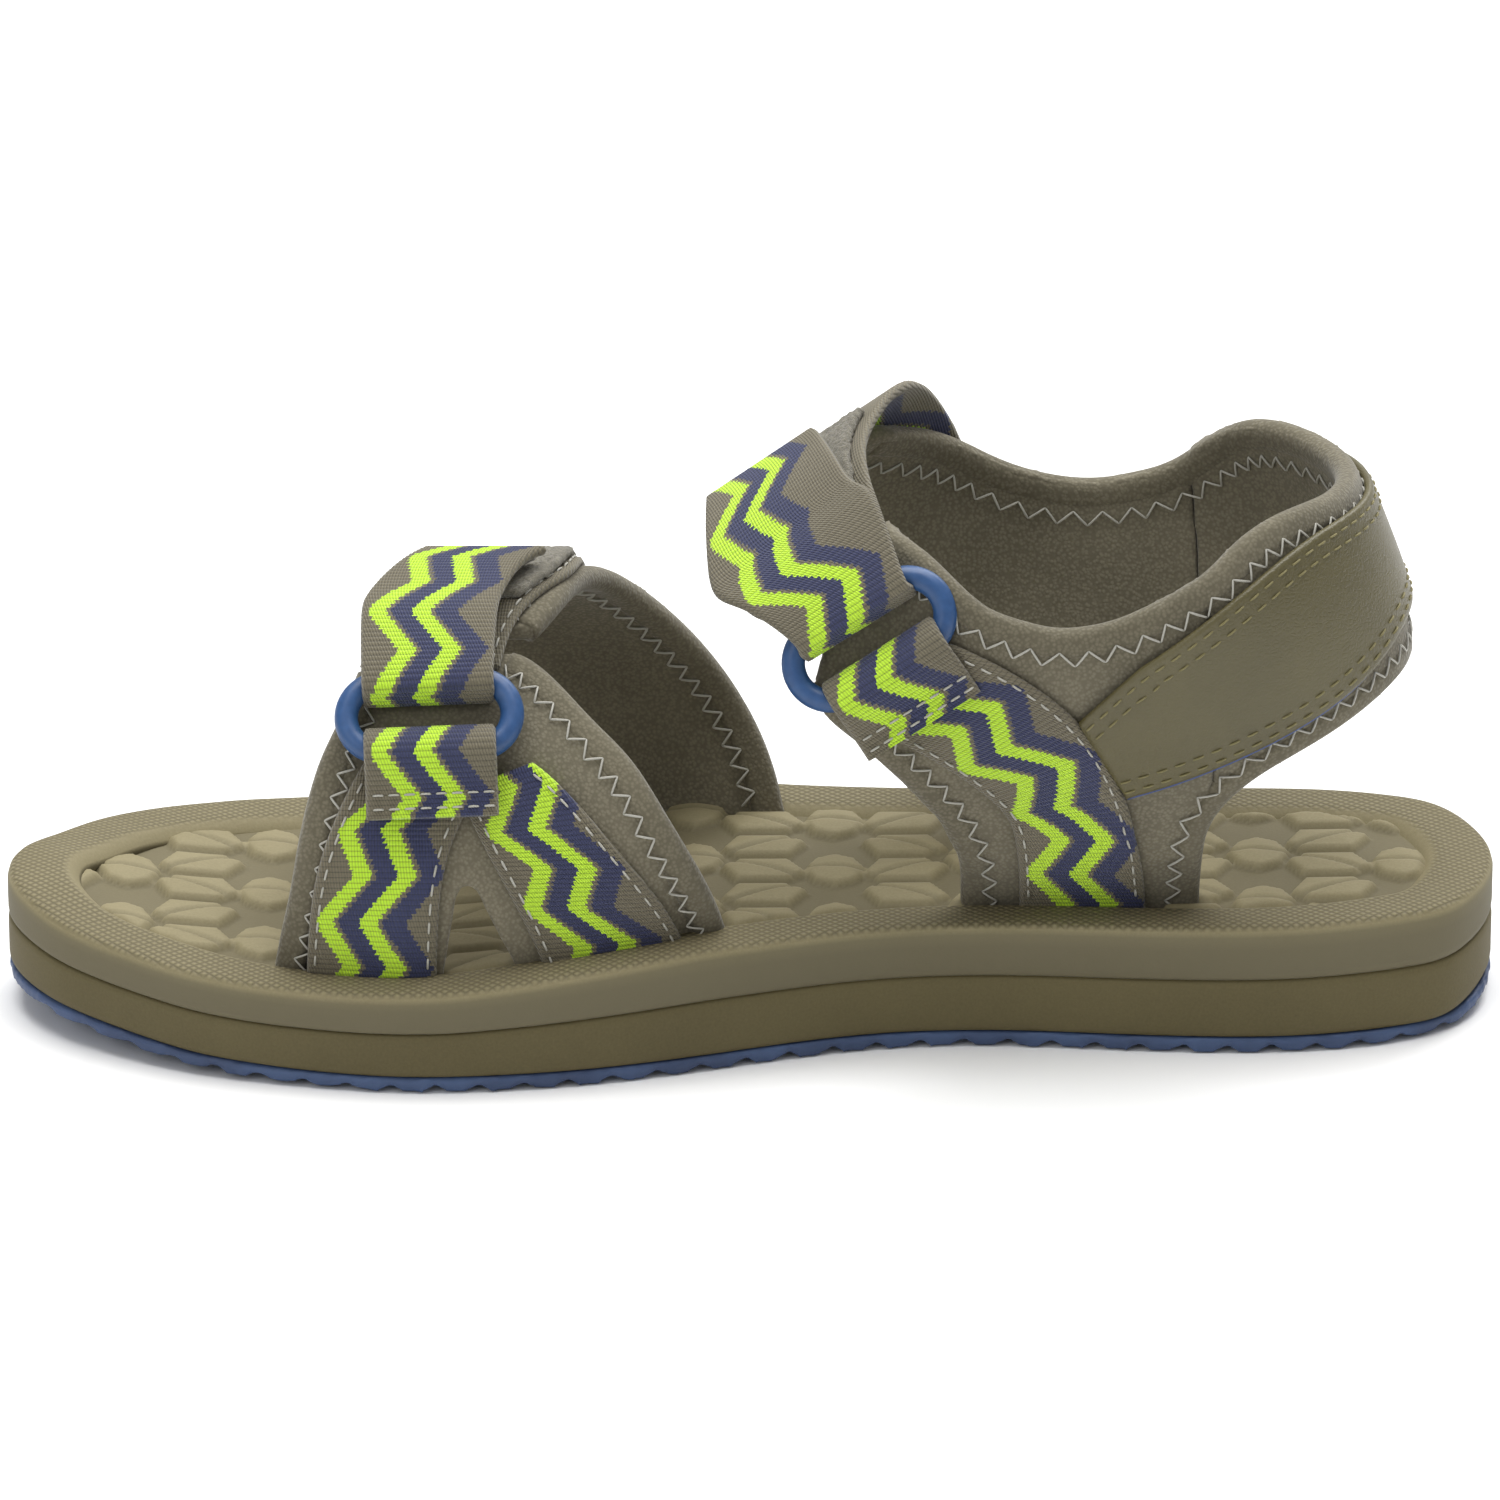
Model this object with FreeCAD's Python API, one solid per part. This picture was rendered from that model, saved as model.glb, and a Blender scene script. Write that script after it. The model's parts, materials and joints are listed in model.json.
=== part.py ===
"""Strappy sport sandal for a right foot: sole, forefoot strap, ankle strap and heel collar.

Millimetres. +X points from toe to heel, +Y to the outer side of the foot, +Z up.
The origin is on the ground under the middle of the sole.
"""
import FreeCAD, Part
import math
import os

os.makedirs("parts", exist_ok=True)
V = FreeCAD.Vector

# ---- driving dimensions ---------------------------------------------------------------------
SOLE_LENGTH = 216.0
BALL_WIDTH = 82.8
STRAP_RISE = 65.5          # height of the forefoot strap's crest
ANKLE_RISE = 85.5          # height of the ankle strap's crest
OUTSOLE_THICKNESS = 2.2
LUG_PITCH = 6.3
LUG_DEPTH = 1.0
LAYER_SPLIT = 0.52         # share of the foam's height that is midsole
RIM_WIDTH = 8.5
RIM_HEIGHT = 1.6
INNER_POINTS = 40          # points that carry the rim's inner line
PANEL = 3.0                # padded cloth
WEBBING = 1.5
WEBBING_WIDTH = 20.0
OVERLAY = 1.0
OVERLAY_EDGE = 0.5
LOOP_TAPE = 1.4
HOOK_TAPE = 1.0
TAPE_INSET = 2.0
LAYER_GAP = 0.1            # between sewn layers
CLOSURE_GAP = 0.35         # between hook tape and loop tape
SLOT_CLEARANCE = 0.35
RING_LENGTH = 27.0
RING_WIDTH = 14.0
RING_BAR = 3.4             # diameter of the ring's section
RING_CLEARANCE = 0.3
RING_HOLLOW = 0.2          # room round the bar in the soft pieces that it presses into
ANCHOR_LENGTH = 9.0        # webbing cemented between the two foam layers
ANCHOR_THICKNESS = 2.0

GRADE_X = SOLE_LENGTH / 216.0
GRADE_Y = BALL_WIDTH / 82.8

# ---- sole outline and side profiles, as (x, y) or (x, z) at the base size --------------------
MEDIAL_EDGE = [(-108, -2), (-106.3, -10.5), (-101.5, -18.7), (-94, -25.5), (-80, -33.9), (-65, -38.6), (-50, -41.2),
               (-36, -40.6), (-22, -38), (-7, -33.2), (7, -28), (21, -24.4), (36, -23.6),
               (50, -24.8), (65, -26), (80, -25.4), (94, -21.6), (103, -14.5), (108, 3.4)]
LATERAL_EDGE = [(-108, -2), (-106.6, 6.5), (-102, 15), (-94, 26.3), (-80, 35.7), (-65, 40.2), (-45, 41.4),
                (-20, 40), (5, 35.6), (30, 33.4), (55, 32.4), (80, 31.4), (94, 28.2),
                (103, 21.5), (108, 3.4)]
TOP_PROFILE = [(-108, 20), (-101, 18.2), (-94, 17), (-81, 15.6), (-70, 14.8), (-57, 14.6),
               (-43, 15), (-22, 17.2), (-7, 18.4), (20, 18.5), (60, 19), (108, 19.8)]
BOTTOM_PROFILE = [(-108, 4), (-101, 3.3), (-94, 2.5), (-80, 0.9), (-65, 0.15), (-56, 0), (-40, 0),
                  (0, 0), (50, 0), (90, 0), (101, 0.1), (108, 2)]
HEEL_CENTRE_Y = 3.4 * GRADE_Y


def graded(points, across):
    """Profile points moved from the base size to this size."""
    return [(x * GRADE_X, value * across) for x, value in points]


def value_at(points, x):
    """Straight-line reading of a profile at x."""
    if x <= points[0][0]:
        return points[0][1]
    for (x0, v0), (x1, v1) in zip(points, points[1:]):
        if x <= x1:
            return v0 + (v1 - v0) * (x - x0) / (x1 - x0)
    return points[-1][1]


medial_edge = graded(MEDIAL_EDGE, GRADE_Y)
lateral_edge = graded(LATERAL_EDGE, GRADE_Y)
top_profile = graded(TOP_PROFILE, 1.0)
bottom_profile = graded(BOTTOM_PROFILE, 1.0)


# ---- sole layers ----------------------------------------------------------------------------
def closed_curve(points):
    curve = Part.BSplineCurve()
    curve.interpolate(points, PeriodicFlag=True)
    return curve


def outline_curve():
    """Outline of the sole, seen from above."""
    loop = [V(x, y, 0) for x, y in medial_edge]
    loop += [V(x, y, 0) for x, y in reversed(lateral_edge[1:-1])]
    return closed_curve(loop)


def inner_curve(curve, distance):
    """The outline moved inwards, through points spread evenly along it."""
    points = []
    for point in curve.toShape().discretize(INNER_POINTS + 1)[:-1]:
        tangent = curve.tangent(curve.parameter(point))[0]
        points.append(point + V(-tangent.y, tangent.x, 0) * distance)
    return closed_curve(points)


def wire_of(curve):
    return Part.Wire([curve.toShape()])


def prism(wire, low, high):
    lowered = wire.copy()
    lowered.translate(V(0, 0, low))
    return Part.Face(lowered).extrude(V(0, 0, high - low))


def slab(lower, upper):
    """Solid between two side profiles, wide enough to cut any layer of the sole."""
    half = BALL_WIDTH
    reach = 1.5
    corners = []
    for line in (lower, upper):
        first = (line[0][0] - reach, line[0][1])
        last = (line[-1][0] + reach, line[-1][1])
        points = [V(x, -half, z) for x, z in [first] + line[1:-1] + [last]]
        corners += points if line is lower else points[::-1]
    wire = Part.makePolygon(corners + corners[:1])
    return Part.Face(wire).extrude(V(0, 2 * half, 0))


def raised(profile, amount):
    return [(x, z + amount) for x, z in profile]


def layer_split_profile():
    """Joint between midsole and footbed."""
    xs = [x for x, _ in top_profile]
    low = OUTSOLE_THICKNESS
    split = []
    for x in xs:
        bottom = value_at(bottom_profile, x) + low
        split.append((x, bottom + LAYER_SPLIT * (value_at(top_profile, x) - bottom)))
    return split


def lug_profile():
    """Underside of the outsole: shallow lugs across the sole."""
    x = bottom_profile[0][0]
    end = bottom_profile[-1][0]
    line = []
    while x < end - LUG_PITCH:
        base = value_at(bottom_profile, x)
        line.append((x, base + LUG_DEPTH))
        line.append((x + 0.25 * LUG_PITCH, value_at(bottom_profile, x + 0.25 * LUG_PITCH)))
        line.append((x + 0.7 * LUG_PITCH, value_at(bottom_profile, x + 0.7 * LUG_PITCH)))
        x += LUG_PITCH
    line.append((end, bottom_profile[-1][1] + LUG_DEPTH))
    return line


outline = outline_curve()
blank = prism(wire_of(outline), -1.0, 40.0)
split_profile = layer_split_profile()
recess = prism(wire_of(inner_curve(outline, RIM_WIDTH)), -1.0, 60.0)

outsole = blank.common(slab(lug_profile(), raised(bottom_profile, OUTSOLE_THICKNESS)))
midsole = blank.common(slab(raised(bottom_profile, OUTSOLE_THICKNESS), split_profile))
footbed = blank.common(slab(split_profile, top_profile))
footbed = footbed.cut(recess.common(slab(raised(top_profile, -RIM_HEIGHT), raised(top_profile, 9.0))))


# ---- skins: the outer face of the padded layer, over the foot ---------------------------------
# Forefoot section (y, z) from the inner slot over the foot to the outer slot. The second point
# and the last but one are at the sole's rim.
FOREFOOT_SECTION = [(-29.5, 3), (-30, 14.7), (-31, 25), (-30, 35), (-26.3, 44.5), (-21.5, 51),
                    (-13.5, 57.8), (-5, 61.6), (3, 62.4), (13, 60), (22.3, 52.5), (29, 41),
                    (32, 28), (31.5, 15), (31, 3)]
# Instep section (y, z) at INSTEP_X, from the inner slot over the ankle to the outer slot.
INSTEP_SECTION = [(-13.8, 3), (-14, 18.5), (-17.5, 26), (-20.8, 34), (-23.6, 42), (-25.3, 50),
                  (-25, 58), (-21.5, 67), (-15, 75), (-7, 80.5), (1.5, 82.5), (12, 82), (20, 79),
                  (26.5, 72.5), (30.5, 64), (32.5, 55), (30.6, 44), (27.4, 34), (24, 26),
                  (20.8, 18.5), (20.6, 3)]
RIM_LINE = 14.7
FOREFOOT_BLEND = 40.0      # height above which the strap no longer follows the rim's line
INSTEP_X = 15.0
INSTEP_SLOPE = 0.7         # the instep rises towards the leg
INSTEP_REACH = 30.0
SLOPE_BAND = (48.0, 80.0)
COLLAR_BLEND = (18.0, 34.0)
# Half width of the heel collar at height z, from the heel's centre line.
ANKLE_GIRTH = [(3, 17.2), (18.5, 17.4), (26, 20.9), (34, 24.2), (42, 27), (50, 29.2), (58, 30.4),
               (66, 31), (74, 30), (84, 27)]
HEEL_BACK = [(30, 93), (45, 95.2), (55, 94.9), (66, 91.6), (79, 86.5), (84, 85)]
STRAIGHT_END = 55.0        # x where the collar's sides start to close round the heel
HEEL_MIDDLE = 100.0        # collar coordinate of the middle of the heel


def ease(share):
    share = min(1.0, max(0.0, share))
    return share * share * (3 - 2 * share)


def risen(z, factor):
    return RIM_LINE + (z - RIM_LINE) * factor


def section_spline(points, factor):
    curve = Part.BSplineCurve()
    places = [float(i) for i in range(len(points))]
    curve.interpolate([V(0, y * GRADE_Y, risen(z, factor)) for y, z in points], Parameters=places)
    return curve


FOREFOOT_FACTOR = (STRAP_RISE - RIM_LINE) / (65.5 - RIM_LINE)
ANKLE_FACTOR = (ANKLE_RISE - RIM_LINE) / (85.5 - RIM_LINE)
forefoot_spline = section_spline(FOREFOOT_SECTION, FOREFOOT_FACTOR)
instep_spline = section_spline(INSTEP_SECTION, ANKLE_FACTOR)


def forefoot_skin(x, index):
    """x along the foot, index along the section from the inner slot to the outer one."""
    point = forefoot_spline.value(index)
    inner = point.y < 0
    share = ease((FOREFOOT_BLEND - point.z) / (FOREFOOT_BLEND - RIM_LINE))
    if inner:
        slot_line = value_at(medial_edge, x * GRADE_X) + RIM_WIDTH
        shift = slot_line - FOREFOOT_SECTION[1][0] * GRADE_Y
    else:
        slot_line = value_at(lateral_edge, x * GRADE_X) - RIM_WIDTH
        shift = slot_line - FOREFOOT_SECTION[-2][0] * GRADE_Y
    return V(x * GRADE_X, point.y + share * shift, point.z)


def instep_skin(x, index):
    point = instep_spline.value(index)
    climb = ease((point.z - SLOPE_BAND[0]) / (SLOPE_BAND[1] - SLOPE_BAND[0]))
    rise = INSTEP_SLOPE * (min(x, INSTEP_REACH) - INSTEP_X) * climb
    return V(x * GRADE_X, point.y, point.z + rise)


def smooth_profile(points):
    curve = Part.BSplineCurve()
    curve.interpolate([V(place, value, 0) for place, value in points])
    return curve


girth_curve = smooth_profile(ANKLE_GIRTH)
heel_curve = smooth_profile(HEEL_BACK)


def bisect(reading, low, high, target):
    """Where a reading that rises from low to high passes the target."""
    for _ in range(26):
        middle = 0.5 * (low + high)
        if reading(middle) < target:
            low = middle
        else:
            high = middle
    return 0.5 * (low + high)


def read_profile(curve, place):
    at = bisect(lambda t: curve.value(t).x, curve.FirstParameter, curve.LastParameter, place)
    return curve.value(at).y


LAST_INDEX = float(len(INSTEP_SECTION) - 1)
INSTEP_CREST = 10.5
INNER_SHOULDER = 8.3       # the side panels reach no further up the instep than this
OUTER_SHOULDER = 12.3


def instep_y(x, z, side):
    """y of the instep skin at x and z, on the inner side (-1) or the outer side (1)."""
    if side < 0:
        index = bisect(lambda i: instep_skin(x, i).z, 0.0, INNER_SHOULDER, z)
    else:
        index = LAST_INDEX - bisect(lambda i: instep_skin(x, LAST_INDEX - i).z,
                                    0.0, LAST_INDEX - OUTER_SHOULDER, z)
    return instep_skin(x, index).y


def collar_skin(along, z):
    """along is x up to STRAIGHT_END, then turns round the heel to its middle at HEEL_MIDDLE.

    Past the middle the outer side follows, mirrored: 2 * HEEL_MIDDLE - along counts back.
    """
    side = -1 if along <= HEEL_MIDDLE else 1
    near = along if side < 0 else 2 * HEEL_MIDDLE - along
    half = read_profile(girth_curve, z) * GRADE_Y
    height = risen(z, ANKLE_FACTOR)
    if near > STRAIGHT_END:
        back = read_profile(heel_curve, max(z, HEEL_BACK[0][0]))
        turn = math.radians(90.0 * (near - STRAIGHT_END) / (HEEL_MIDDLE - STRAIGHT_END))
        x = STRAIGHT_END + (back - STRAIGHT_END) * math.sin(turn)
        return V(x * GRADE_X, HEEL_CENTRE_Y + side * half * math.cos(turn), height)
    y = HEEL_CENTRE_Y + side * half
    share = ease((near - COLLAR_BLEND[0]) / (COLLAR_BLEND[1] - COLLAR_BLEND[0]))
    if share < 1:
        y = share * y + (1 - share) * instep_y(near, height, side)
    return V(near * GRADE_X, y, height)


# ---- strips ---------------------------------------------------------------------------------
def skin_normal(skin, u, v):
    """Outward normal: the skins' second coordinate runs up the inner side."""
    step = 0.02
    across = skin(u + step, v) - skin(u - step, v)
    along = skin(u, v + step) - skin(u, v - step)
    normal = across.cross(along)
    normal.normalize()
    return normal


def grid_solid(lower, upper):
    """Closed solid between two grids of points with the same layout."""
    faces = []
    sheets = []
    for grid in (lower, upper):
        surface = Part.BSplineSurface()
        surface.interpolate(grid)
        sheets.append(surface)
        faces.append(surface.toShape())
    low, high = sheets
    u0, u1, v0, v1 = low.bounds()
    s0, s1, t0, t1 = high.bounds()
    pairs = [(low.uIso(u0), high.uIso(s0)), (low.uIso(u1), high.uIso(s1)),
             (low.vIso(v0), high.vIso(t0)), (low.vIso(v1), high.vIso(t1))]
    for first, second in pairs:
        faces.append(Part.makeRuledSurface(first.toShape(), second.toShape(), 1))
    shell = Part.Compound(faces)
    shell.sewShape(1e-4)
    solid = Part.Solid(shell.Shells[0])
    if solid.Volume < 0:
        solid.reverse()
    return solid


def strip(skin, edge_a, edge_b, low, high, columns=5, rows=None):
    """Layer on a skin between two edges, given as matching (u, v) points along the strip.

    low and high are heights above the skin, each one number or one per point.
    """
    count = len(edge_a)
    rows = rows or 4 * (count - 1) + 1
    lows = low if isinstance(low, list) else [low] * count
    highs = high if isinstance(high, list) else [high] * count
    places = [float(i) for i in range(count)]
    curves = []
    for edge, heights in ((edge_a, lows), (edge_b, highs)):
        curve = Part.BSplineCurve()
        curve.interpolate([V(u, v, h) for (u, v), h in zip(edge, heights)], Parameters=places)
        curves.append(curve)
    grid_low, grid_high = [], []
    for i in range(rows):
        place = (count - 1) * i / (rows - 1)
        a = curves[0].value(place)
        b = curves[1].value(place)
        row_low, row_high = [], []
        for j in range(columns):
            share = j / (columns - 1)
            u = a.x + share * (b.x - a.x)
            v = a.y + share * (b.y - a.y)
            point = skin(u, v)
            normal = skin_normal(skin, u, v)
            row_low.append(point + normal * a.z)
            row_high.append(point + normal * b.z)
        grid_low.append(row_low)
        grid_high.append(row_high)
    return grid_solid(grid_low, grid_high)


def side_window(points, low_y, high_y):
    """Prism across the foot through (x, z) points, for openings in a side panel."""
    corners = [V(x * GRADE_X, low_y, z) for x, z in points]
    wire = Part.makePolygon(corners + corners[:1])
    return Part.Face(wire).extrude(V(0, high_y - low_y, 0))


# ---- rings ----------------------------------------------------------------------------------
RING_PITCH = RING_WIDTH - RING_BAR                 # between the two bars' centres
RING_STRAIGHT = RING_LENGTH - RING_WIDTH
BAR_RADIUS = RING_BAR / 2
FOLD_INNER = BAR_RADIUS + RING_CLEARANCE
FOLD_OUTER = FOLD_INNER + WEBBING
FOLD_WIDTH = RING_STRAIGHT - 2 * RING_CLEARANCE
BAR_LIFT = LAYER_GAP + FOLD_OUTER                  # bar centre above the skin


def ring_frame(skin, lower, upper):
    """Placement whose X runs along the ring, Y from the lower bar to the upper, Z outward."""
    ends = []
    for u, v in (lower, upper):
        ends.append(skin(u, v) + skin_normal(skin, u, v) * BAR_LIFT)
    middle = (ends[0] + ends[1]) * 0.5
    towards = ends[1] - ends[0]
    towards.normalize()
    outward = skin_normal(skin, *lower) + skin_normal(skin, *upper)
    along = towards.cross(outward)
    along.normalize()
    outward = along.cross(towards)
    turn = FreeCAD.Rotation(along, towards, outward, "XYZ")
    return FreeCAD.Placement(middle, turn)


def placed(shape, frame):
    moved = shape.copy()
    moved.Placement = frame.multiply(moved.Placement)
    return moved


def make_ring(radius):
    """Oval ring of round bar, flat in its own XY plane."""
    half = RING_PITCH / 2
    reach = RING_STRAIGHT / 2
    path = Part.Wire([
        Part.makeLine(V(-reach, -half, 0), V(reach, -half, 0)),
        Part.Arc(V(reach, -half, 0), V(reach + half, 0, 0), V(reach, half, 0)).toShape(),
        Part.makeLine(V(reach, half, 0), V(-reach, half, 0)),
        Part.Arc(V(-reach, half, 0), V(-reach - half, 0, 0), V(-reach, -half, 0)).toShape()])
    section = Part.Wire([Part.makeCircle(radius, V(-reach, -half, 0), V(1, 0, 0))])
    return path.makePipeShell([section], True, True)


def bar_tube(side):
    """Webbing turned round one bar: a tube about the bar at Y = side * half the pitch."""
    y = side * RING_PITCH / 2
    start = V(-FOLD_WIDTH / 2, y, 0)
    outer = Part.makeCylinder(FOLD_OUTER, FOLD_WIDTH, start, V(1, 0, 0))
    return outer.cut(Part.makeCylinder(FOLD_INNER, FOLD_WIDTH, start, V(1, 0, 0)))


def turned_fold():
    """Half of the tube about the upper bar, open towards the strap."""
    half_space = Part.makeBox(4 * RING_LENGTH, RING_WIDTH, 4 * FOLD_OUTER,
                              V(-2 * RING_LENGTH, RING_PITCH / 2 - RING_WIDTH, -2 * FOLD_OUTER))
    return bar_tube(1).common(half_space)


FOREFOOT_RING = ((-45.5, 4.05), (-46, 5.35))
ANKLE_RING = ((20.1, 5.9), (14.1, 7.0))
forefoot_frame = ring_frame(forefoot_skin, *FOREFOOT_RING)
ankle_frame = ring_frame(instep_skin, *ANKLE_RING)

# ---- heights of the layers above the skin ---------------------------------------------------
WEB_LOW = LAYER_GAP
WEB_HIGH = LAYER_GAP + WEBBING
LOOP_LOW = WEB_HIGH + LAYER_GAP
LOOP_HIGH = LOOP_LOW + LOOP_TAPE
HOOK_LOW = LOOP_HIGH + CLOSURE_GAP
HOOK_HIGH = HOOK_LOW + HOOK_TAPE
TAB_LOW = HOOK_HIGH + LAYER_GAP
TAB_HIGH = TAB_LOW + WEBBING
TAB_LOW_AT_BAR = BAR_LIFT + FOLD_INNER
TAB_HIGH_AT_BAR = BAR_LIFT + FOLD_OUTER


def single(shape):
    """The largest solid of a result."""
    return max(shape.Solids, key=lambda solid: solid.Volume)


above_split = slab(split_profile, raised(top_profile, 120.0))


def rooted(shape):
    """Strap cut off at the joint between the foam layers."""
    return single(shape.common(above_split))


# ---- forefoot strap -------------------------------------------------------------------------
panel_front = [(-68.3, 0), (-68.1, 1), (-65.8, 2.05), (-63.2, 3.3), (-59.3, 4.6), (-56, 5.6)]
panel_rear = [(-2, 0), (-3, 1), (-7, 2.2), (-14.5, 3.6), (-24.8, 5.1), (-34, 5.9)]
forefoot_medial_panel = strip(forefoot_skin, panel_front, panel_rear, -PANEL, 0, columns=9)
leg_window = side_window([(-45, 0), (-44, 14), (-42, 26.5), (-40.6, 28.2), (-39, 27), (-33, 14),
                          (-31, 0)], -BALL_WIDTH, 0)
forefoot_medial_panel = rooted(forefoot_medial_panel.cut(leg_window))

front_leg_a = [(-63.5, 0), (-63.3, 1), (-62.4, 2.1), (-60.6, 2.85), (-58, 3.45), (-52, 4.05)]
front_leg_b = [(-45, 0), (-44.9, 1), (-44.3, 2.1), (-42.7, 2.85), (-40.5, 3.45), (-39, 4.05)]
forefoot_front_webbing = strip(forefoot_skin, front_leg_a, front_leg_b, WEB_LOW, WEB_HIGH)
forefoot_front_webbing = forefoot_front_webbing.fuse(placed(bar_tube(-1), forefoot_frame))
forefoot_front_webbing = rooted(forefoot_front_webbing)

rear_leg_a = [(-29, 0), (-29.5, 1), (-34.5, 2.2), (-39.3, 3.1), (-41, 3.6)]
rear_leg_b = [(-8.5, 0), (-9.5, 1.1), (-14.5, 2.2), (-23.5, 3.3), (-31, 4.0)]
forefoot_rear_webbing = strip(forefoot_skin, rear_leg_a, rear_leg_b, WEB_LOW, WEB_HIGH)
forefoot_rear_webbing = rooted(forefoot_rear_webbing.cut(forefoot_front_webbing))

band_front = [(-52, 6.3), (-49.5, 7.4), (-48, 8.5), (-49, 9.7), (-52, 10.9), (-57, 12), (-60, 13),
              (-60.5, 14)]
band_rear = [(-31, 6.3), (-26.5, 7.4), (-23.4, 8.5), (-16.5, 9.7), (-7.3, 10.8), (1.3, 12), (5, 13),
             (5, 14)]
forefoot_lateral_band = rooted(strip(forefoot_skin, band_front, band_rear, -PANEL, 0, columns=9))

run_front = [(-55.3, 6.0), (-51.5, 6.8), (-46.5, 7.7), (-44.5, 8.6), (-44, 9.7), (-43, 11),
             (-41, 12.2), (-40, 13), (-40, 14)]
run_rear = [(u + WEBBING_WIDTH / GRADE_X, v) for u, v in run_front]
forefoot_strap_run = rooted(strip(forefoot_skin, run_front, run_rear, WEB_LOW, WEB_HIGH))


def inset(points, amount):
    return [(u + amount / GRADE_X, v) for u, v in points]


loop_front = inset(run_front[1:5], TAPE_INSET)
loop_rear = inset(run_rear[1:5], -TAPE_INSET)
forefoot_loop_patch = strip(forefoot_skin, loop_front, loop_rear, LOOP_LOW, LOOP_HIGH)

half_fold = FOLD_WIDTH / 2 / GRADE_X
tab_front = [(-46 - half_fold, 5.35), (-55, 6.0), (-54, 6.5), (-50.5, 7.1), (-46.5, 7.6)]
tab_rear = [(-46 + half_fold, 5.35), (-36.5, 6.0), (-36, 6.5), (-34, 7.1), (-30, 7.6)]
tab_lows = [TAB_LOW_AT_BAR, TAB_LOW_AT_BAR - 0.2, TAB_LOW, TAB_LOW, TAB_LOW]
tab_highs = [TAB_HIGH_AT_BAR, TAB_HIGH_AT_BAR - 0.2, TAB_HIGH, TAB_HIGH, TAB_HIGH]
forefoot_strap_tab = strip(forefoot_skin, tab_front, tab_rear, tab_lows, tab_highs)
forefoot_strap_tab = single(forefoot_strap_tab.fuse(placed(turned_fold(), forefoot_frame)))
hook_front = inset(tab_front[2:], TAPE_INSET)
hook_rear = inset(tab_rear[2:], -TAPE_INSET)
forefoot_hook_patch = strip(forefoot_skin, hook_front, hook_rear, HOOK_LOW, HOOK_HIGH)
forefoot_ring = placed(make_ring(BAR_RADIUS), forefoot_frame)

# ---- ankle strap ----------------------------------------------------------------------------
SEAM = 63.0                # collar coordinate of the seam between a side panel and the heel band
FRONT_OUTLINE = [(30.6, 0), (30.5, 19), (29.9, 26.2), (26.8, 33.5), (21.1, 40.6), (15.4, 46.6),
                 (11, 50.8), (9, 56)]
SHEET_FRONT = [(10, 3), (10, 20), (9, 37), (7.5, 54), (11, 68), (15, 79.5)]
REAR_OUTLINE = [(80, 34.2), (67, 35.2), (65.2, 32), (64.4, 26), (64.4, 0)]


def side_panel(side, top_line):
    """Padded side of the ankle, cut from its sheet through an outline seen from the side."""
    if side < 0:
        sheet = strip(collar_skin, SHEET_FRONT, [(SEAM, z) for _, z in SHEET_FRONT], -PANEL, 0,
                      columns=15)
    else:
        sheet = strip(collar_skin, [(2 * HEEL_MIDDLE - SEAM, z) for _, z in SHEET_FRONT],
                      [(2 * HEEL_MIDDLE - x, z) for x, z in SHEET_FRONT], -PANEL, 0, columns=15)
    outline_points = [(x, risen(z, ANKLE_FACTOR)) for x, z in FRONT_OUTLINE + top_line + REAR_OUTLINE]
    if side < 0:
        blade = side_window(outline_points, -BALL_WIDTH, HEEL_CENTRE_Y + 4.0)
    else:
        blade = side_window(outline_points, HEEL_CENTRE_Y, BALL_WIDTH)
    return rooted(sheet.common(blade))


MEDIAL_TOP = [(12.5, 68), (15.5, 75.5), (19.6, 76.4), (25.2, 73.6), (32.2, 68.3), (39.2, 65.2),
              (44.8, 64.2), (51.9, 65.8), (60, 70), (66, 73.3), (80, 73.3)]
LATERAL_TOP = [(12, 70), (14.5, 78), (18, 79), (24, 76.5), (29.3, 73.7), (36.6, 69.6), (44, 67.3),
               (51.4, 66.7), (58.8, 68.5), (66, 71.5), (80, 71.5)]
ankle_medial_panel = side_panel(-1, MEDIAL_TOP)
ankle_lateral_panel = side_panel(1, LATERAL_TOP)

web_front = [(38.6, 3), (38.6, 19), (37.7, 31.2), (35, 37), (29, 42.5), (21, 47.8), (15.3, 54.2)]
web_rear = [(56.3, 3), (56.3, 19), (55, 31.2), (51.7, 42.5), (45, 52.5), (34, 60.5), (25.2, 61.6)]
ankle_webbing = strip(collar_skin, web_front, web_rear, WEB_LOW, WEB_HIGH)
ankle_webbing = rooted(ankle_webbing.fuse(placed(bar_tube(-1), ankle_frame)))

ankle_run_front = [(3.9, 7.35), (-1, 7.9), (-2.5, 8.8), (-1.5, 9.6), (1.5, 10.6), (6, 11.6),
                   (12, 13), (19, 14.5), (27, 16), (35, 17.5), (38.6, 19), (38.6, 20)]
ankle_run_rear = [(19.5, 7.85), (18, 8.4), (17, 9), (17, 9.8), (19, 10.6), (22.5, 11.6),
                  (27.5, 13), (35, 14.5), (45, 16), (53, 17.5), (56.3, 19), (56.3, 20)]


def outer_side_skin(x, index):
    """Instep skin that keeps to the collar on the outer side."""
    point = instep_skin(x, index)
    if index < INSTEP_CREST + 1:
        return point
    settle = ease((index - INSTEP_CREST - 1) / 2.0) * ease((x - COLLAR_BLEND[0]) / 16.0)
    base_height = (point.z - RIM_LINE) / ANKLE_FACTOR + RIM_LINE
    collar_y = HEEL_CENTRE_Y + read_profile(girth_curve, base_height) * GRADE_Y
    return V(point.x, point.y + settle * (collar_y - point.y), point.z)


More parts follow.
